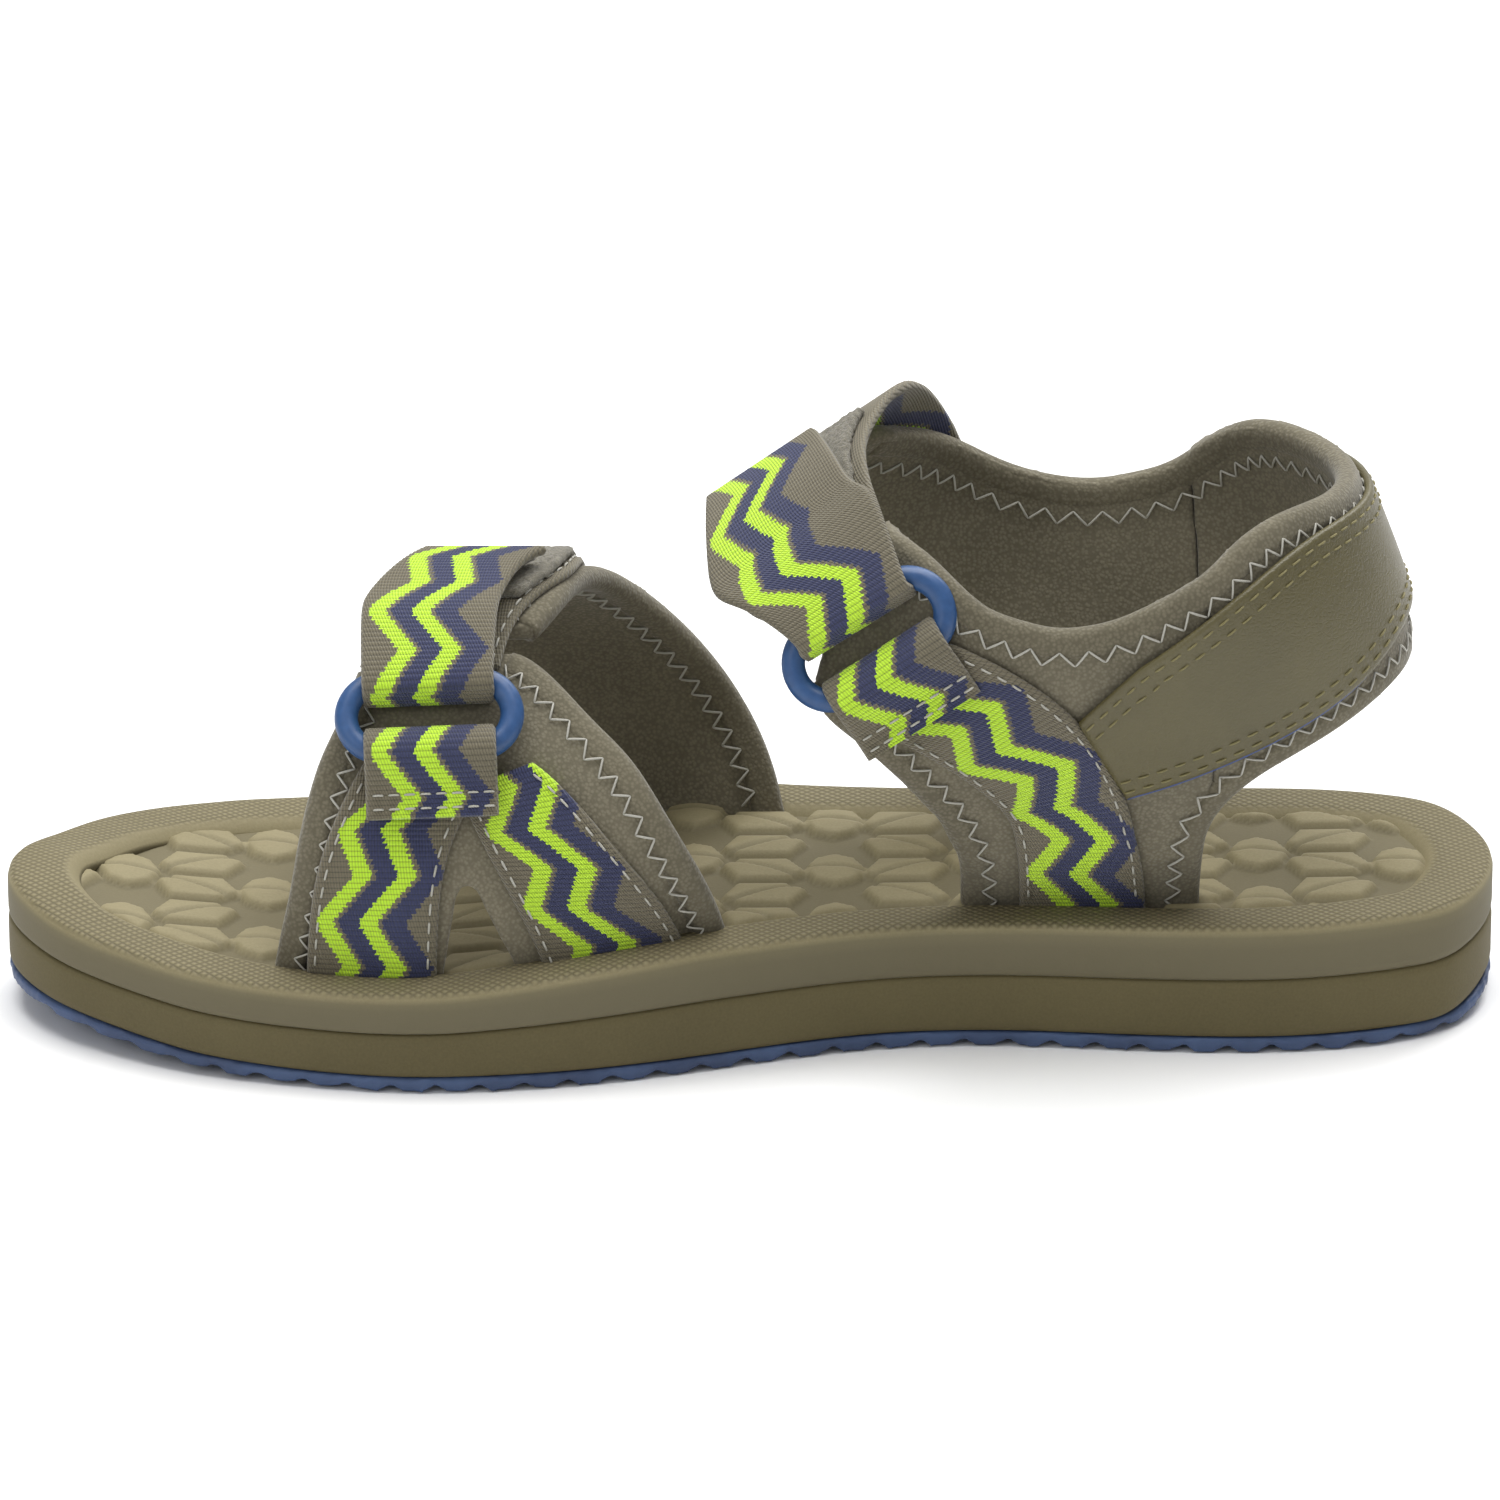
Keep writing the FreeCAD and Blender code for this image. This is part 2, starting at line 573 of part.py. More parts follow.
ankle_strap_run = rooted(strip(outer_side_skin, ankle_run_front, ankle_run_rear, WEB_LOW, WEB_HIGH))
ankle_lateral_panel = single(ankle_lateral_panel.cut(ankle_strap_run))
ankle_loop_patch = strip(instep_skin, inset(ankle_run_front[1:5], TAPE_INSET),
                         inset(ankle_run_rear[1:5], -TAPE_INSET), LOOP_LOW, LOOP_HIGH)

ankle_tab_front = [(9.4, 6.75), (2.2, 7.35), (-2.2, 7.9), (-3.2, 8.7), (-3.2, 9.4), (-3.2, 10.1)]
ankle_tab_rear = [(18.8, 7.25), (19, 7.85), (16.2, 8.3), (14, 8.9), (12.6, 9.5), (11.4, 10.1)]
ankle_tab_lows = [TAB_LOW_AT_BAR, TAB_LOW_AT_BAR - 0.2] + [TAB_LOW] * 4
ankle_tab_highs = [TAB_HIGH_AT_BAR, TAB_HIGH_AT_BAR - 0.2] + [TAB_HIGH] * 4
ankle_strap_tab = strip(instep_skin, ankle_tab_front, ankle_tab_rear, ankle_tab_lows,
                        ankle_tab_highs)
ankle_strap_tab = single(ankle_strap_tab.fuse(placed(turned_fold(), ankle_frame)))
ankle_hook_patch = strip(instep_skin, inset(ankle_tab_front[2:], TAPE_INSET),
                         inset(ankle_tab_rear[2:], -TAPE_INSET), HOOK_LOW, HOOK_HIGH)
ankle_ring = placed(make_ring(BAR_RADIUS), ankle_frame)

# ---- heel -----------------------------------------------------------------------------------
def round_heel(points):
    """Points of one side carried round the heel to the other."""
    return points + [(2 * HEEL_MIDDLE - u, v) for u, v in reversed(points[:-1])]


heel_low = round_heel([(SEAM, 34.2), (66.5, 38.7), (71.3, 42.2), (78.5, 46), (88, 49.6), (100, 51)])
heel_high = round_heel([(SEAM, 72.4), (67.4, 76), (72.3, 78.4), (78.5, 79.3), (88, 79.2), (100, 79)])
heel_band = strip(collar_skin, heel_low, heel_high, -PANEL, 0, columns=7, rows=41)

overlay_low = round_heel([(53.7, 38.5), (60.7, 41.9), (70.2, 47.3), (80.4, 53), (90, 57.6), (100, 59)])
overlay_high = round_heel([(46, 51.2), (58.7, 63.3), (69, 71.5), (78.9, 75.6), (90, 76.4), (100, 76.4)])
EDGE_HIGH = LAYER_GAP + OVERLAY_EDGE
OVERLAY_LOW = EDGE_HIGH + LAYER_GAP
heel_overlay = strip(collar_skin, overlay_low, overlay_high, OVERLAY_LOW, OVERLAY_LOW + OVERLAY,
                     rows=49)
edge_low = [(u, v - 1.0) for u, v in overlay_low]
edge_high = [(u, v + 3.0) for u, v in overlay_low]
heel_overlay_edge = strip(collar_skin, edge_low, edge_high, LAYER_GAP, EDGE_HIGH, rows=49)
for strap in (ankle_webbing, ankle_strap_run):
    heel_overlay = single(heel_overlay.cut(strap))
    heel_overlay_edge = single(heel_overlay_edge.cut(strap))

# ---- hollows where one layer presses into another -----------------------------------------------
for strap in (forefoot_front_webbing, forefoot_rear_webbing):
    forefoot_medial_panel = single(forefoot_medial_panel.cut(strap))
ring_room = placed(make_ring(BAR_RADIUS + RING_HOLLOW), ankle_frame)
ankle_webbing = single(ankle_webbing.cut(ring_room))
for pressed in (ring_room, ankle_webbing):
    ankle_medial_panel = single(ankle_medial_panel.cut(pressed))

# ---- slots and anchors ------------------------------------------------------------------------
slot_low = -PANEL - SLOT_CLEARANCE
slot_high = WEB_HIGH + SLOT_CLEARANCE


def forefoot_slot(low_u, high_u, low_index, high_index):
    step = (high_index - low_index) / 3
    levels = [low_index + step * i for i in range(4)]
    return strip(forefoot_skin, [(low_u, v) for v in levels], [(high_u, v) for v in levels],
                 slot_low, slot_high, columns=9)


def ankle_slot(low_u, high_u):
    levels = [3, 10, 16, 24]
    return strip(collar_skin, [(low_u, z) for z in levels], [(high_u, z) for z in levels],
                 slot_low, slot_high, columns=9)


side_slots = [forefoot_slot(-69, -1.3, 0.0, 1.5), forefoot_slot(-61.2, 5.7, 12.4, 14.0),
              ankle_slot(30, 62.6), ankle_slot(137.4, 170)]
for cutter in side_slots + [forefoot_front_webbing]:
    footbed = footbed.cut(cutter)

anchor_layer = slab(raised(split_profile, -ANCHOR_THICKNESS), split_profile)
ANCHOR_STEPS = 5
ANCHOR_OUTSET = 2.0        # the anchor reaches under the slot's outer wall


def anchor(low_x, high_x, side):
    """Webbing folded inwards below its slot, with its outer edge along the slot."""
    edge = medial_edge if side < 0 else lateral_edge
    outer, inner = [], []
    for i in range(ANCHOR_STEPS):
        x = (low_x + (high_x - low_x) * i / (ANCHOR_STEPS - 1)) * GRADE_X
        y = value_at(edge, x) - side * (RIM_WIDTH - ANCHOR_OUTSET)
        outer.append(V(x, y, 0))
        inner.append(V(x, y - side * (ANCHOR_LENGTH + ANCHOR_OUTSET), 0))
    corners = outer + inner[::-1]
    plate = Part.Face(Part.makePolygon(corners + corners[:1])).extrude(V(0, 0, 40.0))
    return single(plate.common(anchor_layer))


forefoot_medial_anchor = anchor(-68, -3, -1)
forefoot_lateral_anchor = anchor(-60, 5, 1)
ankle_medial_anchor = anchor(31, 64, -1)
ankle_lateral_anchor = anchor(31, 64, 1)
for piece in (forefoot_medial_anchor, forefoot_lateral_anchor, ankle_medial_anchor,
              ankle_lateral_anchor):
    midsole = midsole.cut(piece)

# ---- write every piece ------------------------------------------------------------------------
pieces = {
    "outsole": outsole,
    "midsole": midsole,
    "footbed": footbed,
    "forefoot_medial_anchor": forefoot_medial_anchor,
    "forefoot_lateral_anchor": forefoot_lateral_anchor,
    "ankle_medial_anchor": ankle_medial_anchor,
    "ankle_lateral_anchor": ankle_lateral_anchor,
    "forefoot_medial_panel": forefoot_medial_panel,
    "forefoot_front_webbing": forefoot_front_webbing,
    "forefoot_rear_webbing": forefoot_rear_webbing,
    "forefoot_ring": forefoot_ring,
    "forefoot_lateral_band": forefoot_lateral_band,
    "forefoot_strap_run": forefoot_strap_run,
    "forefoot_loop_patch": forefoot_loop_patch,
    "forefoot_strap_tab": forefoot_strap_tab,
    "forefoot_hook_patch": forefoot_hook_patch,
    "ankle_medial_panel": ankle_medial_panel,
    "ankle_webbing": ankle_webbing,
    "ankle_ring": ankle_ring,
    "ankle_lateral_panel": ankle_lateral_panel,
    "ankle_strap_run": ankle_strap_run,
    "ankle_loop_patch": ankle_loop_patch,
    "ankle_strap_tab": ankle_strap_tab,
    "ankle_hook_patch": ankle_hook_patch,
    "heel_band": heel_band,
    "heel_overlay": heel_overlay,
    "heel_overlay_edge": heel_overlay_edge,
}
for name, shape in pieces.items():
    box = shape.BoundBox
    print(name, len(shape.Solids), shape.isValid(), round(shape.Volume),
          [round(value, 1) for value in (box.XMin, box.YMin, box.ZMin, box.XMax, box.YMax, box.ZMax)])
    shape.exportStep("parts/" + name + ".step")
for label, frame in (("forefoot ring", forefoot_frame), ("ankle ring", ankle_frame)):
    for side in (-1, 1):
        bar = frame.multVec(V(0, side * RING_PITCH / 2, 0))
        print(label, side, [round(value, 3) for value in bar],
              [round(value, 5) for value in frame.Rotation.multVec(V(1, 0, 0))])
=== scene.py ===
import json
import math
import random
import bpy
import numpy as np
from mathutils import Matrix, Vector


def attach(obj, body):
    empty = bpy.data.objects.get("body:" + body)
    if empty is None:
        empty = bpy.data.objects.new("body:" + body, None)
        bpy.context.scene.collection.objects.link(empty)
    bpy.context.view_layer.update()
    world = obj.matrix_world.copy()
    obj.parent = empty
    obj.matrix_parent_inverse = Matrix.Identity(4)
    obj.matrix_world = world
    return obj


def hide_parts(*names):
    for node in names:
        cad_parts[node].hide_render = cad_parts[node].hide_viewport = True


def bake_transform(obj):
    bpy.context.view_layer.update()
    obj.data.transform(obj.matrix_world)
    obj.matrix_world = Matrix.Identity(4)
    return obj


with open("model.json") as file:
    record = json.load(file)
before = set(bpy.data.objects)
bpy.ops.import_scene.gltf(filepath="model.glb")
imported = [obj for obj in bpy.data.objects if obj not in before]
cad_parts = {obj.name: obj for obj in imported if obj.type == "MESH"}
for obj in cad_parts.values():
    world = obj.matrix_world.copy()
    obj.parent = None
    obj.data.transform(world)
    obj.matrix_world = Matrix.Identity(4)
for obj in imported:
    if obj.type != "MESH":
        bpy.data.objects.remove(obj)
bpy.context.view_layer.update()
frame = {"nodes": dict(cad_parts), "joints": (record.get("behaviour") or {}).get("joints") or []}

# ---- Camera, floor and light ------------------------------------------------------------------
# A long lens looks at the sandal's inner side from a little above. The floor is a pale sweep,
# and three soft panels and a pale sky light it as in a product studio.
VIEW_ELEVATION = math.radians(20.5)
VIEW_DISTANCE = 1.489
LENS_MM = 246.8
SENSOR_MM = 36.0
camera_data = bpy.data.cameras.new("camera")
camera_data.lens = LENS_MM
camera_data.sensor_width = SENSOR_MM
camera_data.clip_end = 20.0
camera = bpy.data.objects.new("camera", camera_data)
bpy.context.scene.collection.objects.link(camera)
look_at = Vector((-0.0002, 0.0, 0.0367))
backward = Vector((0.0, -math.cos(VIEW_ELEVATION), math.sin(VIEW_ELEVATION)))
camera.location = look_at + backward * VIEW_DISTANCE
camera.rotation_euler = (-backward).to_track_quat("-Z", "Y").to_euler()
bpy.context.scene.camera = camera


def only(*pieces):
    """Deselect everything, then select these pieces and make the first one active."""
    bpy.ops.object.select_all(action="DESELECT")
    for piece in pieces:
        piece.select_set(True)
    bpy.context.view_layer.objects.active = pieces[0]


def node_material(name):
    """A new material, its node tree and its principled shader."""
    material = bpy.data.materials.new(name)
    material.use_nodes = True
    return material, material.node_tree, material.node_tree.nodes["Principled BSDF"]


bpy.ops.object.select_all(action="DESELECT")
bpy.ops.mesh.primitive_plane_add(size=12.0, location=(0, 0, -0.0002))
floor = bpy.context.object
floor.name = "floor"
floor_white, _, floor_shader = node_material("floor_white")
floor_shader.inputs["Base Color"].default_value = (0.9, 0.9, 0.9, 1)
floor_shader.inputs["Roughness"].default_value = 0.9
floor.data.materials.append(floor_white)

world = bpy.data.worlds.new("studio")
bpy.context.scene.world = world
world.use_nodes = True
world.node_tree.nodes["Background"].inputs["Color"].default_value = (1.0, 1.0, 1.0, 1)
world.node_tree.nodes["Background"].inputs["Strength"].default_value = 0.5
bpy.context.scene.view_settings.view_transform = "Standard"

# (name, position, width, watts) of each soft panel, all aimed at the middle of the sandal
for name, place, width, watts in (("overhead", (0.0, 0.25, 1.3), 1.3, 27.0),
                                  ("front_left", (-0.9, -1.1, 0.8), 0.7, 3.5),
                                  ("behind", (0.6, 1.0, 0.9), 0.7, 6.0)):
    panel_light = bpy.data.lights.new(name, "AREA")
    panel_light.size = width
    panel_light.energy = watts
    lamp = bpy.data.objects.new(name, panel_light)
    lamp.location = place
    lamp.rotation_euler = (Vector((0, 0, 0.04)) - Vector(place)).to_track_quat("-Z", "Y").to_euler()
    bpy.context.scene.collection.objects.link(lamp)


# ---- Outsole ----------------------------------------------------------------------------------
# A thin sheet of dark blue rubber with low lugs across it, moulded flat and cemented under the
# midsole. Its edge shows as a blue line with a wavy lower side.
def chain(tree, kind, **settings):
    """A shader node with some of its properties set."""
    node = tree.nodes.new(kind)
    for key, value in settings.items():
        setattr(node, key, value)
    return node


def feed(tree, node, *values):
    """Set or link a node's inputs in order; None leaves one alone. Gives its first output."""
    for socket, value in zip(node.inputs, values):
        if isinstance(value, bpy.types.NodeSocket):
            tree.links.new(value, socket)
        elif value is not None:
            socket.default_value = value
    return node.outputs[0]


def piece_place(tree):
    """Where a point lies on its piece, for patterns that run through it."""
    return chain(tree, "ShaderNodeTexCoord").outputs["Object"]


def painted(tree, layer):
    """A value kept on the piece's points."""
    return chain(tree, "ShaderNodeAttribute", attribute_name=layer).outputs["Fac"]


def maths(tree, operation, *values):
    return feed(tree, chain(tree, "ShaderNodeMath", operation=operation), *values)


def noise(tree, place, scale, detail=3.0, roughness=0.55):
    node = chain(tree, "ShaderNodeTexNoise")
    tree.links.new(place, node.inputs["Vector"])
    node.inputs["Scale"].default_value = scale
    node.inputs["Detail"].default_value = detail
    node.inputs["Roughness"].default_value = roughness
    return node.outputs["Fac"]


def blend_colour(tree, share, first, second):
    node = chain(tree, "ShaderNodeMix", data_type="RGBA")
    for socket, value in ((node.inputs[0], share), (node.inputs[6], first), (node.inputs[7], second)):
        if isinstance(value, bpy.types.NodeSocket):
            tree.links.new(value, socket)
        else:
            socket.default_value = value
    return node.outputs[2]


def ramp(tree, value, low, high):
    """0 below low, 1 above high."""
    node = chain(tree, "ShaderNodeMapRange")
    node.interpolation_type = "SMOOTHSTEP"
    tree.links.new(value, node.inputs["Value"])
    node.inputs["From Min"].default_value = low
    node.inputs["From Max"].default_value = high
    return node.outputs["Result"]


def bump(tree, shader, height, distance, strength=1.0):
    node = chain(tree, "ShaderNodeBump")
    node.inputs["Distance"].default_value = distance
    node.inputs["Strength"].default_value = strength
    tree.links.new(height, node.inputs["Height"])
    tree.links.new(node.outputs["Normal"], shader.inputs["Normal"])


def linear(red, green, blue):
    """Screen colour, 0 to 255, as the light value that a shader takes."""
    channels = []
    for channel in (red, green, blue):
        share = channel / 255.0
        channels.append(share / 12.92 if share <= 0.04045 else ((share + 0.055) / 1.055) ** 2.4)
    return (*channels, 1.0)


def outsole_rubber():
    material, tree, shader = node_material("blue_rubber")
    place = piece_place(tree)
    cloud = noise(tree, place, 60.0)
    colour = blend_colour(tree, ramp(tree, cloud, 0.35, 0.65), linear(46, 62, 94), linear(60, 80, 116))
    tree.links.new(colour, shader.inputs["Base Color"])
    shader.inputs["Roughness"].default_value = 0.55
    bump(tree, shader, noise(tree, place, 2500.0), 0.0001, 0.5)
    return material


REMESH_SIZE = 0.0007


def soft_copy(node, name, rounds):
    """A part's own shape, remeshed evenly and eased so that its edges roll."""
    piece = bpy.data.objects.new(name, frame["nodes"][node].data.copy())
    bpy.context.scene.collection.objects.link(piece)
    only(piece)
    bpy.ops.object.mode_set(mode="EDIT")
    bpy.ops.mesh.select_all(action="SELECT")
    bpy.ops.mesh.remove_doubles(threshold=1e-6)
    bpy.ops.object.mode_set(mode="OBJECT")
    remesh = piece.modifiers.new("even", "REMESH")
    remesh.mode = "VOXEL"
    remesh.voxel_size = REMESH_SIZE
    remesh.use_smooth_shade = True
    bpy.ops.object.modifier_apply(modifier="even")
    smooth = piece.modifiers.new("ease", "SMOOTH")
    smooth.factor = 0.5
    smooth.iterations = rounds
    bpy.ops.object.modifier_apply(modifier="ease")
    return piece


def dress(piece, material, body, slot, *nodes):
    """Give a finished piece its material and its body and hide the parts it stands for; slot is not
    used.
    """
    piece.data.materials.clear()
    piece.data.materials.append(material)
    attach(piece, body)
    if nodes:
        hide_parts(*nodes)


blue_rubber = outsole_rubber()
outsole_sheet = soft_copy("outsole", "outsole_sheet", 3)
dress(outsole_sheet, blue_rubber, "shoe", "outsole_rubber", "outsole")


# ---- Midsole ----------------------------------------------------------------------------------
# The lower block of olive EVA foam, cut to the outline and cemented to the footbed block above it.
# Its skin is smooth, with a fine speckle and faint clouding.
def smooth_line(points):
    """Smooth curve through points in mm; the parameter is the point's index."""
    table = np.array(points, float)
    count = len(table)
    reach = table[:4] if count > 3 else table[:3]
    rear = table[::-1][:4] if count > 3 else table[::-1][:3]
    lagrange = (-11 / 6, 3.0, -1.5, 1 / 3) if count > 3 else (-1.5, 2.0, -0.5)
    first_slope = np.tensordot(lagrange, reach, 1)
    last_slope = -np.tensordot(lagrange, rear, 1)
    system = np.zeros((count, count))
    right = np.zeros_like(table)
    system[0, :2] = (2, 1)
    right[0] = 6 * (table[1] - table[0] - first_slope)
    for i in range(1, count - 1):
        system[i, i - 1:i + 2] = (1, 4, 1)
        right[i] = 6 * (table[i - 1] - 2 * table[i] + table[i + 1])
    system[-1, -2:] = (1, 2)
    right[-1] = 6 * (last_slope - table[-1] + table[-2])
    bend = np.linalg.solve(system, right)

    def at(place):
        place = np.clip(np.asarray(place, float), 0, count - 1)
        i = np.minimum(place.astype(int), count - 2)
        share = (place - i)[..., None]
        back = 1 - share
        return (back * table[i] + share * table[i + 1] + (back ** 3 - back) * bend[i] / 6
                + (share ** 3 - share) * bend[i + 1] / 6)
    return at


def foam_material(name, low, high, mesh_pitch=0.0):
    """Olive foam: broad cloudiness, fine speckle and painted shade in marked grooves; on the rim, a
    moulded diamond mesh with painted shade in its hollows, and the sides painted darker than the top as
    painted shade.
    """
    material, tree, shader = node_material(name)
    place = piece_place(tree)
    cloud = ramp(tree, noise(tree, place, 28.0, 3.0), 0.2, 0.8)
    speckle = noise(tree, place, 2600.0, 2.0)
    share = maths(tree, "ADD", maths(tree, "MULTIPLY", cloud, 0.35),
                  maths(tree, "MULTIPLY", speckle, 0.5))
    colour = blend_colour(tree, share, low, high)
    # Painted shade: darkens the colour where the piece marks grooves and low ground between pods.
    painted_groove_shade = painted(tree, "painted_groove_shade")
    colour = blend_colour(tree, maths(tree, "MULTIPLY", painted_groove_shade, 0.55), colour,
                          [0.35 * c for c in low[:3]] + [1])
    relief = maths(tree, "MULTIPLY", speckle, 0.5)
    if mesh_pitch:
        axes = chain(tree, "ShaderNodeSeparateXYZ")
        tree.links.new(place, axes.inputs[0])
        weave = None
        for sign in (1.0, -1.0):
            slant = maths(tree, "ADD", axes.outputs["X"],
                          maths(tree, "MULTIPLY", axes.outputs["Y"], sign))
            wave = maths(tree, "ABSOLUTE", maths(tree, "SINE", maths(
                tree, "MULTIPLY", slant, math.pi / mesh_pitch)))
            weave = wave if weave is None else maths(tree, "MULTIPLY", weave, wave)
        rim = painted(tree, "rim")
        raised = maths(tree, "MULTIPLY", weave, rim)
        relief = maths(tree, "ADD", relief, maths(tree, "MULTIPLY", raised, 3.0))
        # Painted light and shade: faces that point up keep the full colour and the sides are painted
        # darker.
        painted_top_light = painted(tree, "painted_top_light")
        colour = blend_colour(tree, painted_top_light, [0.42 * c for c in high[:3]] + [1], colour)
        shade = maths(tree, "MULTIPLY", maths(tree, "SUBTRACT", rim, raised), 0.8)
        colour = blend_colour(tree, shade, colour, [0.5 * c for c in low[:3]] + [1])
    tree.links.new(colour, shader.inputs["Base Color"])
    shader.inputs["Roughness"].default_value = 0.72
    shader.inputs["Specular IOR Level"].default_value = 0.35
    bump(tree, shader, relief, 0.00012, 0.6)
    return material


MEDIAL_EDGE = [(-108, -2), (-106.3, -10.5), (-101.5, -18.7), (-94, -25.5), (-80, -33.9),
               (-65, -38.6), (-50, -41.2), (-36, -40.6), (-22, -38), (-7, -33.2), (7, -28),
               (21, -24.4), (36, -23.6), (50, -24.8), (65, -26), (80, -25.4), (94, -21.6),
               (103, -14.5), (108, 3.4)]
LATERAL_EDGE = [(-108, -2), (-106.6, 6.5), (-102, 15), (-94, 26.3), (-80, 35.7), (-65, 40.2),
                (-45, 41.4), (-20, 40), (5, 35.6), (30, 33.4), (55, 32.4), (80, 31.4), (94, 28.2),
                (103, 21.5), (108, 3.4)]
TOP_PROFILE = [(-108, 20), (-101, 18.2), (-94, 17), (-81, 15.6), (-70, 14.8), (-57, 14.6),
               (-43, 15), (-22, 17.2), (-7, 18.4), (20, 18.5), (60, 19), (108, 19.8)]
BOTTOM_PROFILE = [(-108, 4), (-101, 3.3), (-94, 2.5), (-80, 0.9), (-65, 0.15), (-56, 0), (-40, 0),
                  (0, 0), (50, 0), (90, 0), (101, 0.1), (108, 2)]
OUTSOLE_THICKNESS = 2.2
LAYER_SPLIT = 0.52

ring_points = MEDIAL_EDGE + LATERAL_EDGE[-2:0:-1]
wrapped = smooth_line(ring_points[-3:] + ring_points + ring_points[:4])
sole_outline = wrapped(np.linspace(3, 3 + len(ring_points), 700)[:-1])
unit_turn = np.roll(sole_outline, -1, axis=0) - np.roll(sole_outline, 1, axis=0)
inward = np.column_stack([-unit_turn[:, 1], unit_turn[:, 0]])
inward /= np.linalg.norm(inward, axis=1, keepdims=True)


def soft_profile(points):
    """A side profile with its corners eased, as a function of x in mm."""
    table = np.array(points, float)
    dense = np.arange(-120.0, 120.5, 0.5)
    values = np.interp(dense, table[:, 0], table[:, 1])
    kernel = np.hanning(25) / np.hanning(25).sum()
    padded_values = np.concatenate([np.full(12, values[0]), values, np.full(12, values[-1])])
    eased = np.convolve(padded_values, kernel, mode="valid")
    return lambda x: np.interp(x, dense, eased)


top_height = soft_profile(TOP_PROFILE)
bottom_height = soft_profile([(x, z + OUTSOLE_THICKNESS) for x, z in BOTTOM_PROFILE])


def split_height(x):
    return bottom_height(x) + LAYER_SPLIT * (top_height(x) - bottom_height(x))


def rim_block(name, section):
    """A block that runs round the sole. section gives (inset in mm, height function) points."""
    rings = []
    for inset, height in section:
        flat = sole_outline + inward * inset
        rings.append(np.column_stack([flat, height(sole_outline[:, 0])]))
    points = np.stack(rings, axis=1)
    count, size = points.shape[:2]
    faces = [(i * size + j, i * size + (j + 1) % size, ((i + 1) % count) * size + (j + 1) % size,
              ((i + 1) % count) * size + j) for i in range(count) for j in range(size)]
    return face_outwards(mesh_piece(name, points.reshape(-1, 3), faces))


def mesh_piece(name, points, faces, uv=None):
    """A mesh from points in mm, with one (across, along) coordinate per point in mm."""
    mesh = bpy.data.meshes.new(name)
    mesh.from_pydata([tuple(p) for p in np.asarray(points) * 0.001], [], faces)
    if uv is not None:
        layer = mesh.uv_layers.new(name="UVMap")
        corners = np.zeros(len(mesh.loops), int)
        mesh.loops.foreach_get("vertex_index", corners)
        layer.data.foreach_set("uv", (np.asarray(uv)[corners] * 0.001).ravel())
    mesh.update()
    piece = bpy.data.objects.new(name, mesh)
    bpy.context.scene.collection.objects.link(piece)
    only(piece)
    bpy.ops.object.shade_smooth()
    return piece


def face_outwards(piece):
    """Turn every face of a closed mesh outwards."""
    only(piece)
    bpy.ops.object.mode_set(mode="EDIT")
    bpy.ops.mesh.select_all(action="SELECT")
    bpy.ops.mesh.normals_make_consistent(inside=False)
    bpy.ops.object.mode_set(mode="OBJECT")
    return piece


def between(share):
    """Height at a share of the way up from the outsole to the top of the rim."""
    return lambda x: bottom_height(x) + share * (top_height(x) - bottom_height(x))


midsole_foam = foam_material("midsole_foam", linear(76, 68, 41), linear(100, 91, 60))
midsole_section = [(0.9, bottom_height), (0.35, between(0.012)), (0.08, between(0.05)),
                   (0.0, between(0.1)), (0.0, between(0.28)), (0.0, between(0.44)),
                   (0.12, between(0.495)), (0.5, split_height), (9.0, split_height),
                   (9.0, bottom_height)]
midsole = rim_block("midsole_block", midsole_section)
dress(midsole, midsole_foam, "shoe", "midsole_foam", "midsole")


# ---- Footbed ----------------------------------------------------------------------------------
# The upper block of foam. Its rim carries a fine moulded diamond mesh and its recess is filled
# with domed pods, five-sided ones with a diagonal crease between columns of lens shaped ones.
RIM_WIDTH = 8.5
RIM_HEIGHT = 1.6


def rim_distance(points):
    """Distance in mm from each (x, y) to the sole's outline, negative outside it."""
    x, y = points[:, 0], points[:, 1]
    nearest = np.full(len(points), 1e9)
    crossings = np.zeros(len(points), int)
    for (x0, y0), (x1, y1) in zip(sole_outline, np.roll(sole_outline, -1, axis=0)):
        nearest = np.minimum(nearest, np.hypot(x - x0, y - y0))
        spans = (y0 > y) != (y1 > y)
        crossings += spans & (x < x0 + (x1 - x0) * (y - y0) / (y1 - y0 if y1 != y0 else 1.0))
    return np.where(crossings % 2 == 1, nearest, -nearest)


def ease(share):
    share = np.clip(share, 0.0, 1.0)
    return share * share * (3 - 2 * share)


def polygon_depth(points, corners):
    """How far inside a convex polygon each point is; negative outside."""
    depth = np.full(len(points), 1e9)
    for (x0, y0), (x1, y1) in zip(corners, corners[1:] + corners[:1]):
        length = math.hypot(x1 - x0, y1 - y0)
        depth = np.minimum(depth, ((x1 - x0) * (points[:, 1] - y0)
                                   - (y1 - y0) * (points[:, 0] - x0)) / length)
    return depth


